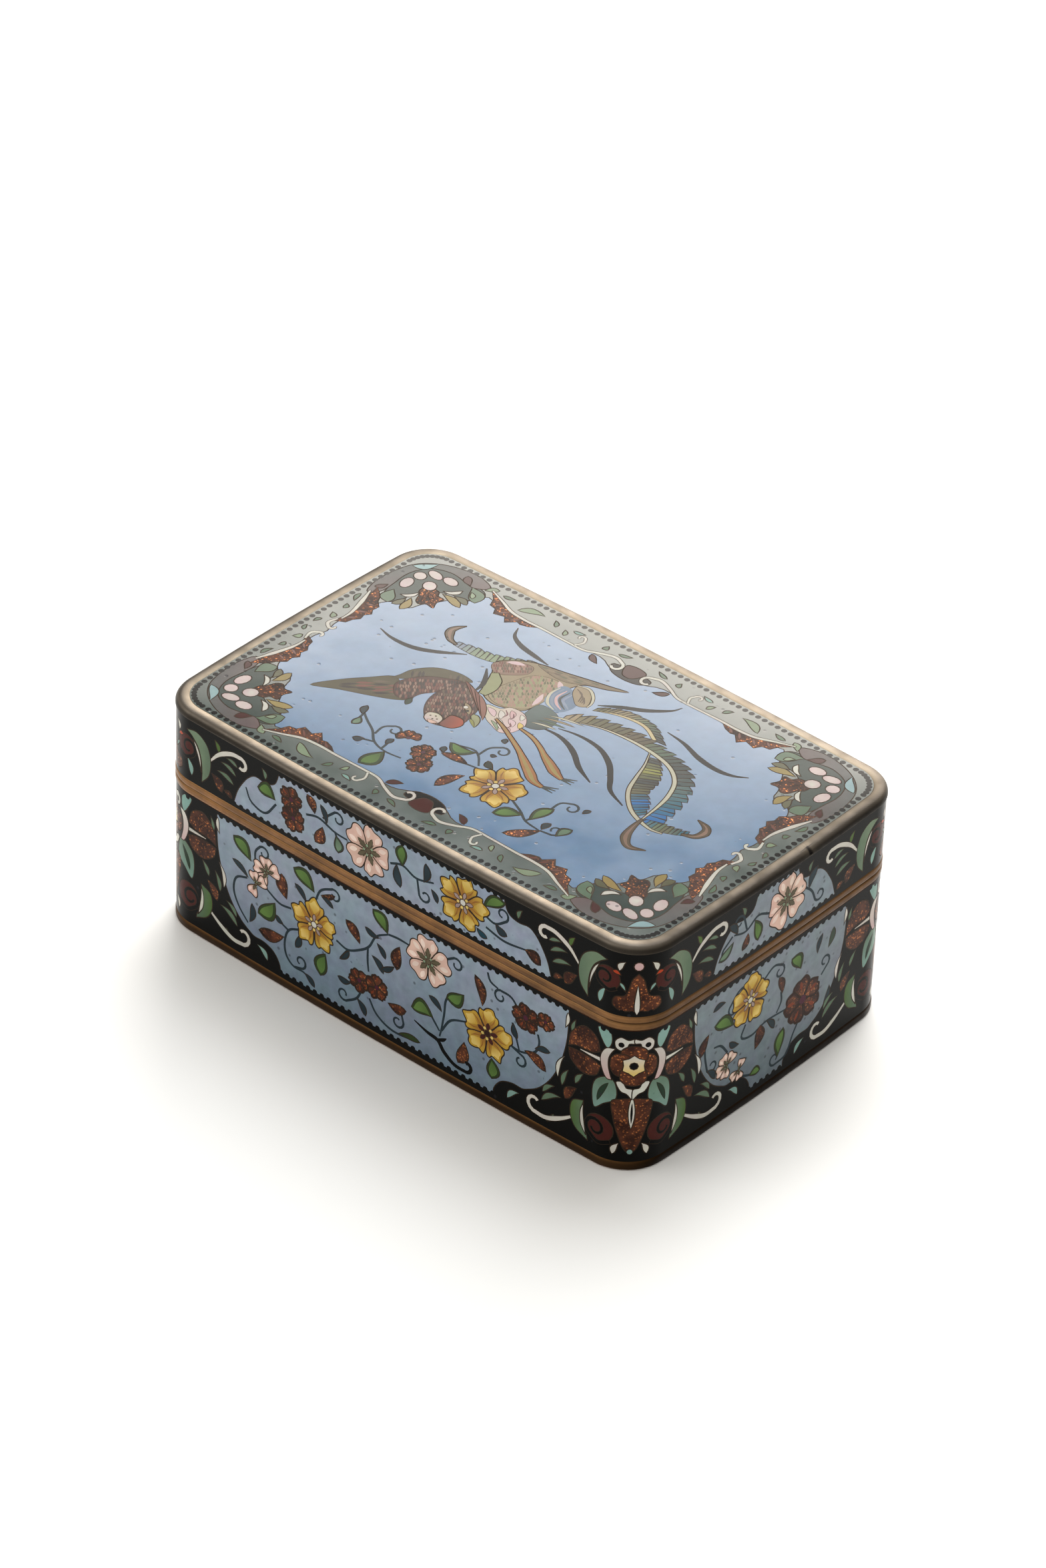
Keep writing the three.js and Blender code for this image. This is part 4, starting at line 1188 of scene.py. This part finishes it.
class Piece:
    """Gathers patches of faces, welds them and makes one mesh of them."""

    def __init__(self):
        self.patches = []

    def add(self, points, faces, normals=None, tints=None, kinds=ENAMEL):
        """The normals and tints are per point, per corner or one for all. Without normals the faces
        are flat."""
        faces = [tuple(f) for f in faces]
        corners = np.concatenate([np.array(f) for f in faces])
        if normals is not None:
            per_point = len(normals) == len(points) and normals.ndim == 2
            normals = normals[corners] if per_point else normals.reshape(-1, 3)
        if tints is None:
            tints = linear(COPPER)
        one_tint = np.ndim(tints) == 1
        tints = np.broadcast_to(tints, (len(corners), 3)) if one_tint else tints.reshape(-1, 3)
        kinds = np.broadcast_to(kinds, len(faces))
        self.patches.append((np.asarray(points, float), faces, normals, tints, kinds))

    def build(self, name, materials):
        points = np.vstack([p[0] for p in self.patches])
        _, first, weld = np.unique(np.round(points, 4), axis=0, return_index=True, return_inverse=True)
        weld = weld.reshape(-1)
        faces, normals, tints, kinds = [], [], [], []
        base = 0
        for pts, fs, ns, ts, ks in self.patches:
            corner = 0
            for face, kind in zip(fs, ks):
                here = [int(weld[base + i]) for i in face]
                span = slice(corner, corner + len(face))
                corner += len(face)
                if len(set(here)) < len(here):
                    continue
                if ns is None:
                    a, b, c = (pts[i] for i in face[:3])
                    flat_normal = np.cross(b - a, c - a)
                    flat_normal = flat_normal / max(np.linalg.norm(flat_normal), 1e-12)
                    normals.append(np.tile(flat_normal, (len(face), 1)))
                else:
                    normals.append(ns[span])
                faces.append(here)
                tints.append(ts[span])
                kinds.append(kind)
            base += len(pts)
        mesh = bpy.data.meshes.new(name)
        mesh.from_pydata((points[first] * MM).tolist(), [], faces)
        mesh.polygons.foreach_set("material_index", np.array(kinds, np.int32))
        mesh.polygons.foreach_set("use_smooth", [True] * len(faces))
        colours = np.ones((len(mesh.loops), 4), np.float32)
        colours[:, :3] = np.vstack(tints)
        attribute = mesh.color_attributes.new(name="tint", type="FLOAT_COLOR", domain="CORNER")
        attribute.data.foreach_set("color", colours.ravel())
        mesh.normals_split_custom_set(np.vstack(normals).tolist())
        for material in materials:
            mesh.materials.append(material)
        piece = bpy.data.objects.new(name, mesh)
        bpy.context.scene.collection.objects.link(piece)
        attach(piece, "root")
        return piece


def on_side(points, inset=ENAMEL_INSET):
    """Puts points (s, z) on the box's sides."""
    place, out = around(points[:, 0])
    return np.c_[place - out * inset, points[:, 1]], np.c_[out, np.zeros(len(out))]


def zipped(first, second, a, b):
    """Triangles between two rows of points, a and b being each row's distances along it."""
    i = j = 0
    faces = []
    while i < len(a) - 1 or j < len(b) - 1:
        if j == len(b) - 1 or (i < len(a) - 1 and a[i + 1] <= b[j + 1]):
            faces.append((first + i, first + i + 1, second + j))
            i += 1
        else:
            faces.append((first + i, second + j + 1, second + j))
            j += 1
    return faces


def side_band(cells, low, high):
    """A closed band of enamel round the box, with its drawing on the outside."""
    half = ROUND / 2
    border = np.array([(-half, low), (half, low), (half, high), (-half, high)])
    marks = [((s, low), (s, high)) for s in stations() if abs(s) < half - 0.01]
    points, triangles, tints, kinds = facets(cells, border, marks, BLACK, ENAMEL)
    outer, normals = on_side(points)
    piece = Piece()
    piece.add(outer, triangles, normals, tints, kinds)
    back = ENAMEL_INSET + ENAMEL_DEPTH
    rows = []
    for z in (low, high):
        s = np.sort(points[np.abs(points[:, 1] - z) < 1e-5, 0])
        ring = np.c_[s, np.full(len(s), z)]
        rows.append((s, ring))
        front, _ = on_side(ring)
        behind, _ = on_side(ring, back)
        count = len(s)
        quads = [(i, i + count, i + 1 + count, i + 1) for i in range(count - 1)]
        piece.add(np.vstack([front, behind]), quads if z == low else [q[::-1] for q in quads])
    (s_low, ring_low), (s_high, ring_high) = rows
    behind, out = on_side(np.vstack([ring_low, ring_high]), back)
    piece.add(behind, [f[::-1] for f in zipped(0, len(s_low), s_low, s_high)], -out)
    return piece


CROWN_ROUND, CROWN_EDGE = 0.45, 0.55  # shares of the crown's fall that go by the 2nd and the 8th power


def crowned(points):
    """Puts points (x, y) on top of the lid."""
    half_x, half_y = LENGTH / 2 - EDGE_RIM_DEPTH, WIDTH / 2 - EDGE_RIM_DEPTH
    x, y = points[:, 0] / half_x, points[:, 1] / half_y
    across, deep = (np.clip(1 - CROWN_ROUND * t ** 2 - CROWN_EDGE * t ** 8, 0, 1) for t in (x, y))
    z = TOP - TOP_SINK + TOP_CROWN * across * deep
    fall_x, fall_y = (2 * CROWN_ROUND * t + 8 * CROWN_EDGE * t ** 7 for t in (x, y))
    slope_x = -fall_x / half_x * TOP_CROWN * deep
    slope_y = -fall_y / half_y * TOP_CROWN * across
    normals = np.c_[-slope_x, -slope_y, np.ones(len(points))]
    return np.c_[points, z], normals / np.linalg.norm(normals, axis=1, keepdims=True)


PLATE_STEP, PLATE_REACH = 6, (60, 40)  # the plate is cut along lines this far apart and this long


def top_plate(cells):
    place, out = around(stations())
    border = place - out * EDGE_RIM_DEPTH
    reach_x, reach_y = PLATE_REACH
    lines = [((x, -reach_y), (x, reach_y)) for x in range(-54, 55, PLATE_STEP)]
    lines += [((-reach_x, y), (reach_x, y)) for y in range(-30, 31, PLATE_STEP)]
    points, triangles, tints, kinds = facets(cells, border, lines, BORDER, GROUND)
    outer, normals = crowned(points)
    piece = Piece()
    piece.add(outer, triangles, normals, tints, kinds)
    # The rim of the plate, in order round it, is made of the edges that one triangle has alone.
    edges = np.sort(np.concatenate([triangles[:, [0, 1]], triangles[:, [1, 2]], triangles[:, [2, 0]]]), 1)
    pairs, count = np.unique(edges, axis=0, return_counts=True)
    rim = np.unique(pairs[count == 1])
    rim = rim[np.argsort(np.arctan2(points[rim, 1], points[rim, 0]))]
    upper = outer[rim]
    lower = upper * (1, 1, 0) + (0, 0, TOP - TOP_SINK - ENAMEL_DEPTH)
    n = len(rim)
    piece.add(np.vstack([upper, lower]), [(i, i + n, (i + 1) % n + n, (i + 1) % n) for i in range(n)])
    piece.add(np.vstack([lower, [(0, 0, lower[0, 2])]]), [((i + 1) % n, i, n) for i in range(n)])
    return piece


NICK_AT, NICK_HALF_WIDTH, NICK_DEPTH = SHORT_AT + 9.1, 0.6, 0.35
CRISP_COSINE = 0.77


def swept(profile, closed, caps=False, tint=METAL, dent=0.0, kinds=ENAMEL, painted_row_light=None, sides=(1, 1, 1, 1),
          nicked=()):
    """A surface swept round the box. Profile rows are (inset, z) and run up the outside and down the
    inside. Corners of the profile sharper than 40 degrees stay crisp. The row factors lighten or darken
    each row as painted light and shade, and sides does so for the front, right, back and left as
    painted light and shade. The nicked rows are dented in one place."""
    nick_points = NICK_AT + NICK_HALF_WIDTH * np.linspace(-1, 1, 5)
    s = np.sort(np.concatenate([stations(), nick_points]) if nicked else stations())
    place, out = around(s)
    n = len(s)
    piece = Piece()
    profile = np.array(profile, float)
    waves = dent * (np.sin(s * 0.31 + 1.2) + 0.6 * np.sin(s * 0.83) + 0.4 * np.sin(s * 1.9 + 0.5))
    nick = NICK_DEPTH * np.clip(1 - np.abs(s - NICK_AT) / NICK_HALF_WIDTH, 0, 1)
    rings = [np.c_[place - out * (inset + waves + nick * (row in nicked))[:, None], np.full(n, z)]
             for row, (inset, z) in enumerate(profile)]
    painted_row_light = np.ones(len(profile)) if painted_row_light is None else np.array(painted_row_light)
    # Each station's painted light and shade, from the four sides' factors.
    directions = np.c_[-out[:, 1], out[:, 0], out[:, 1], -out[:, 0]]
    along = (np.clip(directions, 0, 1) ** 2) @ np.array(sides, float)
    last = len(profile) if closed else len(profile) - 1
    steps = np.diff(np.vstack([profile, profile[:1]]) if closed else profile, axis=0)
    facing = np.c_[steps[:, 1], steps[:, 0]]
    facing /= np.linalg.norm(facing, axis=1, keepdims=True)

    def bent(k, other):
        if not closed and not 0 <= other < last:
            return facing[k]
        other %= len(facing)
        joined = facing[k] + facing[other]
        return joined / np.linalg.norm(joined) if facing[k] @ facing[other] > CRISP_COSINE else facing[k]

    for k in range(last):
        a, b = rings[k], rings[(k + 1) % len(rings)]
        normals = [np.c_[out * f[0], np.full(n, f[1])] for f in (bent(k, k - 1), bent(k, k + 1))]
        quads = [(i, (i + 1) % n, (i + 1) % n + n, i + n) for i in range(n)]
        # Each corner's colour is its row's and its side's painted light and shade times the tint.
        low, high = painted_row_light[k] * along, painted_row_light[(k + 1) % len(painted_row_light)] * along
        painted_tones = np.stack([low, np.roll(low, -1), np.roll(high, -1), high], 1)
        piece.add(np.vstack([a, b]), quads, np.vstack(normals), painted_tones[:, :, None] * linear(tint), kinds)
    if caps:
        for ring, up in ((rings[0], False), (rings[-1], True)):
            centre = [(0, 0, ring[0, 2])]
            faces = [(i, (i + 1) % n, n) if up else ((i + 1) % n, i, n) for i in range(n)]
            piece.add(np.vstack([ring, centre]), faces, None, linear(tint), kinds)
    return piece


def quarter_round(inset, z, radius, first, last, steps=8):
    angles = np.radians(np.linspace(first, last, steps + 1))
    return [(inset - radius * math.cos(a), z + radius * math.sin(a)) for a in angles]


def swollen(low, high, swell, steps=10):
    """The outer face of a rim, rounded off towards both edges."""
    return [(swell * abs(2 * k / steps - 1) ** 4, low + (high - low) * k / steps) for k in range(steps + 1)]


# ---------------------------------------------------------------- materials
class Nodes:
    def __init__(self, name):
        self.material = bpy.data.materials.new(name)
        self.material.use_nodes = True
        self.tree = self.material.node_tree
        self.shader = self.tree.nodes["Principled BSDF"]
        self.place = self.tree.nodes.new("ShaderNodeTexCoord").outputs["Object"]

    def node(self, kind, inputs=(), **settings):
        made = self.tree.nodes.new("ShaderNode" + kind)
        for key, value in settings.items():
            setattr(made, key, value)
        for key, value in dict(inputs).items():
            self.link(value, made.inputs[key])
        return made

    def link(self, value, socket):
        if isinstance(value, bpy.types.NodeSocket):
            self.tree.links.new(value, socket)
        else:
            socket.default_value = value

    def noise(self, scale, detail=2.0):
        return self.node("TexNoise", {"Vector": self.place, "Scale": scale, "Detail": detail}).outputs["Fac"]

    def cells(self, scale):
        made = self.node("TexVoronoi", {"Vector": self.place, "Scale": scale})
        return made.outputs["Distance"], made.outputs["Color"]

    def remap(self, value, low, high, to_low=0.0, to_high=1.0):
        return self.node("MapRange", {"Value": value, "From Min": low, "From Max": high,
                                      "To Min": to_low, "To Max": to_high}).outputs["Result"]

    def mix(self, share, first, second, blend="MIX"):
        made = self.node("Mix", data_type="RGBA", blend_type=blend)
        self.link(share, made.inputs["Factor"])
        self.link(first, made.inputs["A"])
        self.link(second, made.inputs["B"])
        return made.outputs["Result"]

    def maths(self, operation, first, second=0.0):
        made = self.node("Math", operation=operation)
        self.link(first, made.inputs[0])
        self.link(second, made.inputs[1])
        return made.outputs[0]

    def bump(self, height, strength, distance=0.0001):
        made = self.node("Bump", {"Height": height, "Strength": strength, "Distance": distance})
        self.link(made.outputs["Normal"], self.shader.inputs["Normal"])

    def set(self, **values):
        for key, value in values.items():
            self.link(value, self.shader.inputs[key.replace("_", " ")])


def tinted(nodes):
    return nodes.node("Attribute", attribute_name="tint").outputs["Color"]


def rgb(colour):
    return (*linear(colour), 1)


ENAMEL_ROUGHNESS = (0.13, 0.19)


def enamel_material(name, mottle, specks, gloss, painted_light_factor=1.0):
    """Fired glass: cloudy colour, pinholes and a soft polish."""
    n = Nodes(name)
    # The last argument scales the whole colour as painted light and shade.
    cloud = n.remap(n.noise(420, 3), 0.3, 0.7, painted_light_factor * (1 - mottle), painted_light_factor * (1 + mottle))
    broad = n.remap(n.noise(90, 3), 0.3, 0.7, 1 - mottle / 2, 1 + mottle / 2)
    grey = n.node("CombineColor", {"Red": cloud, "Green": cloud, "Blue": cloud}).outputs[0]
    other = n.remap(n.noise(270, 3), 0.3, 0.7, 1 - mottle / 2, 1 + mottle / 2)
    warm = n.node("CombineColor", {"Red": broad, "Green": other, "Blue": 1.0}).outputs[0]
    colour = n.mix(1.0, n.mix(1.0, tinted(n), grey, "MULTIPLY"), warm, "MULTIPLY")
    distance, random_colour = n.cells(700)
    chosen = n.maths("GREATER_THAN", n.node("SeparateColor", {"Color": random_colour}).outputs[0],
                     1 - specks)
    pit = n.maths("MULTIPLY", n.remap(distance, 0.16, 0.3, 1, 0), chosen)
    colour = n.mix(n.maths("MULTIPLY", pit, 0.6), colour, (0.02, 0.02, 0.025, 1))
    n.set(Base_Color=colour, Roughness=n.remap(n.noise(150, 2), 0.3, 0.7, *ENAMEL_ROUGHNESS),
          Specular_IOR_Level=gloss)
    n.bump(n.maths("SUBTRACT", n.noise(90, 1), pit), 0.12)
    return n.material


def goldstone_material():
    """Aventurine glass: brown, and full of copper glitter."""
    n = Nodes("goldstone")
    _, random_colour = n.cells(3600)
    sparkle = n.node("SeparateColor", {"Color": random_colour}).outputs[0]
    lit = n.remap(sparkle, 0.84, 0.98)
    cloud = n.remap(n.noise(330, 3), 0.38, 0.62)
    dull = n.mix(cloud, n.mix(0.55, tinted(n), (0, 0, 0, 1)), n.mix(0.36, tinted(n), rgb((106, 60, 36))))
    glitter = n.maths("MULTIPLY", lit, n.remap(cloud, 0, 1, 0.25, 1))
    n.set(Base_Color=n.mix(glitter, dull, rgb((186, 114, 66))), Metallic=n.maths("MULTIPLY", lit, 0.5),
          Roughness=0.24, Specular_IOR_Level=0.08)
    n.bump(n.noise(90, 1), 0.1)
    return n.material


def wire_material():
    n = Nodes("cloison_wire")
    n.set(Base_Color=tinted(n), Metallic=0.25, Roughness=n.remap(n.noise(800, 2), 0.3, 0.7, 0.35, 0.55),
          Specular_IOR_Level=0.06)
    return n.material


def bronze_material(name, colour, tarnish, worn, wear, roughness):
    """Old gilt bronze: darker where tarnish lies, and brighter where hands have rubbed it."""
    n = Nodes(name)
    patches = n.remap(n.noise(130, 4), 0.38, 0.66)
    streaks = n.remap(n.noise(900, 3), 0.3, 0.7)
    dull = n.mix(n.maths("MULTIPLY", patches, 0.8), rgb(colour), rgb(tarnish))
    fine = n.mix(n.maths("MULTIPLY", streaks, 0.35), dull, rgb(tarnish))
    edge = n.node("NewGeometry").outputs["Pointiness"]
    bright = n.maths("MULTIPLY", n.remap(edge, 0.5, 0.56), wear)
    rubbed = n.mix(bright, fine, rgb(worn))
    # The tint attribute multiplies in the rows' and sides' painted light and shade.
    n.set(Base_Color=n.mix(1.0, rubbed, tinted(n), "MULTIPLY"), Metallic=1.0,
          Roughness=n.remap(n.noise(300, 3), 0.3, 0.7, roughness - 0.08, roughness + 0.1))
    n.bump(n.noise(600, 3), 0.25)
    return n.material


goldstone, wire = goldstone_material(), wire_material()
# In the order of ENAMEL, GROUND, GOLDSTONE and WIRE
enamels = [
    enamel_material("enamel", mottle=0.06, specks=0.02, gloss=0.06),
    enamel_material("ground_enamel", mottle=0.12, specks=0.12, gloss=0.2),
    goldstone, wire,
]
# The top's cells other than the ground are painted 22 percent darker than the sides' as painted shade.
top_enamels = [
    enamel_material("top_enamel", mottle=0.06, specks=0.02, gloss=0.12, painted_light_factor=0.78),
    enamel_material("top_ground", mottle=0.05, specks=0.08, gloss=0.42),
    goldstone, wire,
]
bronze = bronze_material("bronze", colour=(132, 94, 60), tarnish=(84, 60, 42), worn=(190, 146, 98),
                         wear=0.5, roughness=0.36)
dark_bronze = bronze_material("dark_bronze", colour=(54, 40, 28), tarnish=(28, 21, 17), worn=(140, 100, 60),
                              wear=0.6, roughness=0.42)
worn_bronze = bronze_material("worn_bronze", colour=(84, 79, 75), tarnish=(70, 64, 60),
                              worn=(190, 174, 150), wear=0.6, roughness=0.48)


# ---------------------------------------------------------------- pieces
def lay(surface, name, materials, node):
    piece = surface.build(name, materials)
    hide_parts(node)


# Painted light and shade on each bronze, as a lightness for the front, right, back and left: the right and
# left are painted darker as shade, the edge's back lighter.
FOOT_PAINTED_SIDE_LIGHT = (0.85, 0.12, 0.85, 0.3)
MOUTH_PAINTED_SIDE_LIGHT = (0.95, 0.45, 0.95, 0.7)
EDGE_PAINTED_SIDE_LIGHT = (0.88, 0.44, 1.25, 0.62)

wall_inset = ENAMEL_INSET + WALL
lining_inset = ENAMEL_INSET + ENAMEL_DEPTH + 0.02

lay(side_band(base_drawing(), FOOT_TOP, BASE_TOP), "base_side_enamel", enamels, "base_shell")
lay(side_band(lid_drawing(), LID_BOTTOM, EDGE_BOTTOM), "lid_side_enamel", enamels, "lid_shell")
lay(top_plate(top_drawing()), "lid_top_enamel", top_enamels, "lid_shell")

floor_z = UNDERSIDE + WALL
base_cup = swept([
    (FOOT_DEPTH + PLUG_GAP, UNDERSIDE), (FOOT_DEPTH + PLUG_GAP, FOOT_TOP), (lining_inset, FOOT_TOP),
    (lining_inset, BASE_TOP), (wall_inset, BASE_TOP),
    *quarter_round(wall_inset + INSIDE_FILLET, floor_z + INSIDE_FILLET, INSIDE_FILLET, 0, -90),
], closed=False, caps=True, tint=COUNTER_ENAMEL, kinds=GROUND)
lay(base_cup, "base_lining", enamels, "base_shell")

ceiling_z = TOP - WALL
lid_cup = swept([
    *quarter_round(wall_inset + INSIDE_FILLET, ceiling_z - INSIDE_FILLET, INSIDE_FILLET, 90, 0),
    (wall_inset, LID_BOTTOM), (lining_inset, LID_BOTTOM), (lining_inset, EDGE_BOTTOM),
    (EDGE_RIM_DEPTH, EDGE_BOTTOM), (EDGE_RIM_DEPTH, TOP - TOP_SINK - ENAMEL_DEPTH - 0.02),
], closed=False, caps=True, tint=COUNTER_ENAMEL, kinds=GROUND)
lay(lid_cup, "lid_lining", enamels, "lid_shell")

# The foot's lowest rows are painted two to three and a half times lighter as a highlight along its bottom
# edge.
foot = swept([
    (FOOT_DEPTH - 0.25, 0), (0.5, 0), *quarter_round(0.5, 0.5, 0.5, -70, 0, 4), (0, FOOT_TOP - 0.5),
    (0.08, FOOT_TOP - 0.2), (0.3, FOOT_TOP), (FOOT_DEPTH, FOOT_TOP), (FOOT_DEPTH, 0.25),
], closed=True, dent=0.02, painted_row_light=[2, 3.5, 3.5, 3, 2, *[0.8] * 7], sides=FOOT_PAINTED_SIDE_LIGHT)
lay(foot, "bronze_foot", [dark_bronze], "foot_rim")

lip_outside = RIM_DEPTH + LIP_GAP
lip_inside = lip_outside + LIP_THICKNESS
# The base's mouth rim is painted darker at the seam and where it meets the enamel, as shade in the gaps.
mouth = swept([
    *swollen(BASE_TOP, SEAM, 0.3), (lip_outside, SEAM), (lip_outside, SEAM + LIP_RISE - 0.3),
    (lip_outside + 0.3, SEAM + LIP_RISE), (lip_inside, SEAM + LIP_RISE - 0.15),
    (lip_inside, SEAM - LIP_DROP), (wall_inset + PLUG_GAP, SEAM - LIP_DROP),
    (wall_inset + PLUG_GAP, BASE_TOP),
], closed=True, painted_row_light=[0.5, *[1] * 9, 0.3, 0.3, *[1] * 7], sides=MOUTH_PAINTED_SIDE_LIGHT)
lay(mouth, "base_mouth_bronze", [bronze], "base_mouth_rim")

# The lid's mouth rim is painted darker at the seam and where it meets the enamel, as shade in the gaps.
lid_mouth = swept([*swollen(SEAM, LID_BOTTOM, 0.3), (RIM_DEPTH, LID_BOTTOM), (RIM_DEPTH, SEAM)], closed=True,
                  painted_row_light=[0.3, *[1] * 9, 0.5, 1, 1], sides=MOUTH_PAINTED_SIDE_LIGHT)
lay(lid_mouth, "lid_mouth_bronze", [bronze], "lid_mouth_rim")

# The edge rim's outer face is painted dark as shade, and its rounding lighter towards the top as a painted
# highlight.
edge = swept([
    (0.15, EDGE_BOTTOM), (0, EDGE_BOTTOM + 0.1),
    *quarter_round(EDGE_ROUNDING, TOP - EDGE_ROUNDING, EDGE_ROUNDING, 0, 90, 12),
    (EDGE_RIM_DEPTH - 0.15, TOP), (EDGE_RIM_DEPTH, TOP - 0.1), (EDGE_RIM_DEPTH, EDGE_BOTTOM),
], closed=True, painted_row_light=[*[0.3] * 5, 0.35, 0.45, 0.7, 1.1, 1.3, 1.2, *[1] * 7], sides=EDGE_PAINTED_SIDE_LIGHT,
    nicked=range(4, 14))
lay(edge, "lid_edge_bronze", [worn_bronze], "lid_edge_rim")

# ---------------------------------------------------------------- stage, camera and light
CAMERA_AZIMUTH = 40.04
CAMERA_ELEVATION = 35.35
CAMERA_ROLL = 2.21
CAMERA_OFFSET = (0.0036, 0.2714, 9.7239)
CAMERA_UNIT = 0.12
LENS = 141.45
SENSOR_WIDTH = 36
FLOOR_REACH = 9
WORLD_COLOUR, WORLD_STRENGTH = (1, 0.97, 0.9, 1), 0.66


def build_camera():
    a, e, r = (math.radians(v) for v in (CAMERA_AZIMUTH, CAMERA_ELEVATION, CAMERA_ROLL))
    back = Vector((math.sin(a) * math.cos(e), -math.cos(a) * math.cos(e), math.sin(e)))
    right = Vector((math.cos(a), math.sin(a), 0))
    up = back.cross(right)
    right, up = math.cos(r) * right + math.sin(r) * up, -math.sin(r) * right + math.cos(r) * up
    turn = Matrix((right, up, back)).transposed()
    data = bpy.data.cameras.new("camera")
    data.lens = LENS
    data.sensor_width = SENSOR_WIDTH
    data.clip_end = 50
    camera = bpy.data.objects.new("camera", data)
    camera.matrix_world = Matrix.Translation(turn @ Vector(CAMERA_OFFSET) * CAMERA_UNIT) @ turn.to_4x4()
    bpy.context.scene.collection.objects.link(camera)
    bpy.context.scene.camera = camera


def build_floor():
    mesh = bpy.data.meshes.new("floor")
    reach = FLOOR_REACH
    mesh.from_pydata([(-reach, -reach, 0), (reach, -reach, 0), (reach, reach, 0), (-reach, reach, 0)], [],
                     [(0, 1, 2, 3)])
    floor = bpy.data.objects.new("floor", mesh)
    bpy.context.scene.collection.objects.link(floor)
    n = Nodes("pale_floor")
    n.set(Base_Color=n.mix(n.noise(3), (0.96, 0.96, 0.96, 1), (0.98, 0.98, 0.98, 1)), Roughness=0.9)
    mesh.materials.append(n.material)


def soft_light(name, size, power, place, aim, colour=(1, 1, 1)):
    data = bpy.data.lights.new(name, "AREA")
    data.shape = "RECTANGLE"
    data.size, data.size_y = size
    data.energy = power
    data.color = colour
    lamp = bpy.data.objects.new(name, data)
    lamp.location = place
    lamp.rotation_euler = (Vector(aim) - Vector(place)).to_track_quat("-Z", "Y").to_euler()
    bpy.context.scene.collection.objects.link(lamp)


def build_light():
    world = bpy.data.worlds.new("studio")
    bpy.context.scene.world = world
    world.use_nodes = True
    background = world.node_tree.nodes["Background"]
    background.inputs["Color"].default_value = WORLD_COLOUR
    background.inputs["Strength"].default_value = WORLD_STRENGTH
    soft_light("key", size=(0.9, 0.9), power=12.5, place=(-0.28, 0.62, 1.25), aim=(0, 0, 0),
               colour=(0.97, 0.99, 1))
    soft_light("backdrop", size=(0.8, 0.43), power=8.2, place=(-0.42, 0.91, 0.53), aim=(0, 0, 0.05),
               colour=(1, 0.93, 0.85))
    soft_light("left_edge", size=(0.7, 0.4), power=2.2, place=(-0.75, -0.8, 0.9), aim=(0, 0, 0.05))


build_camera()
build_floor()
build_light()
bpy.context.scene.view_settings.view_transform = "Standard"
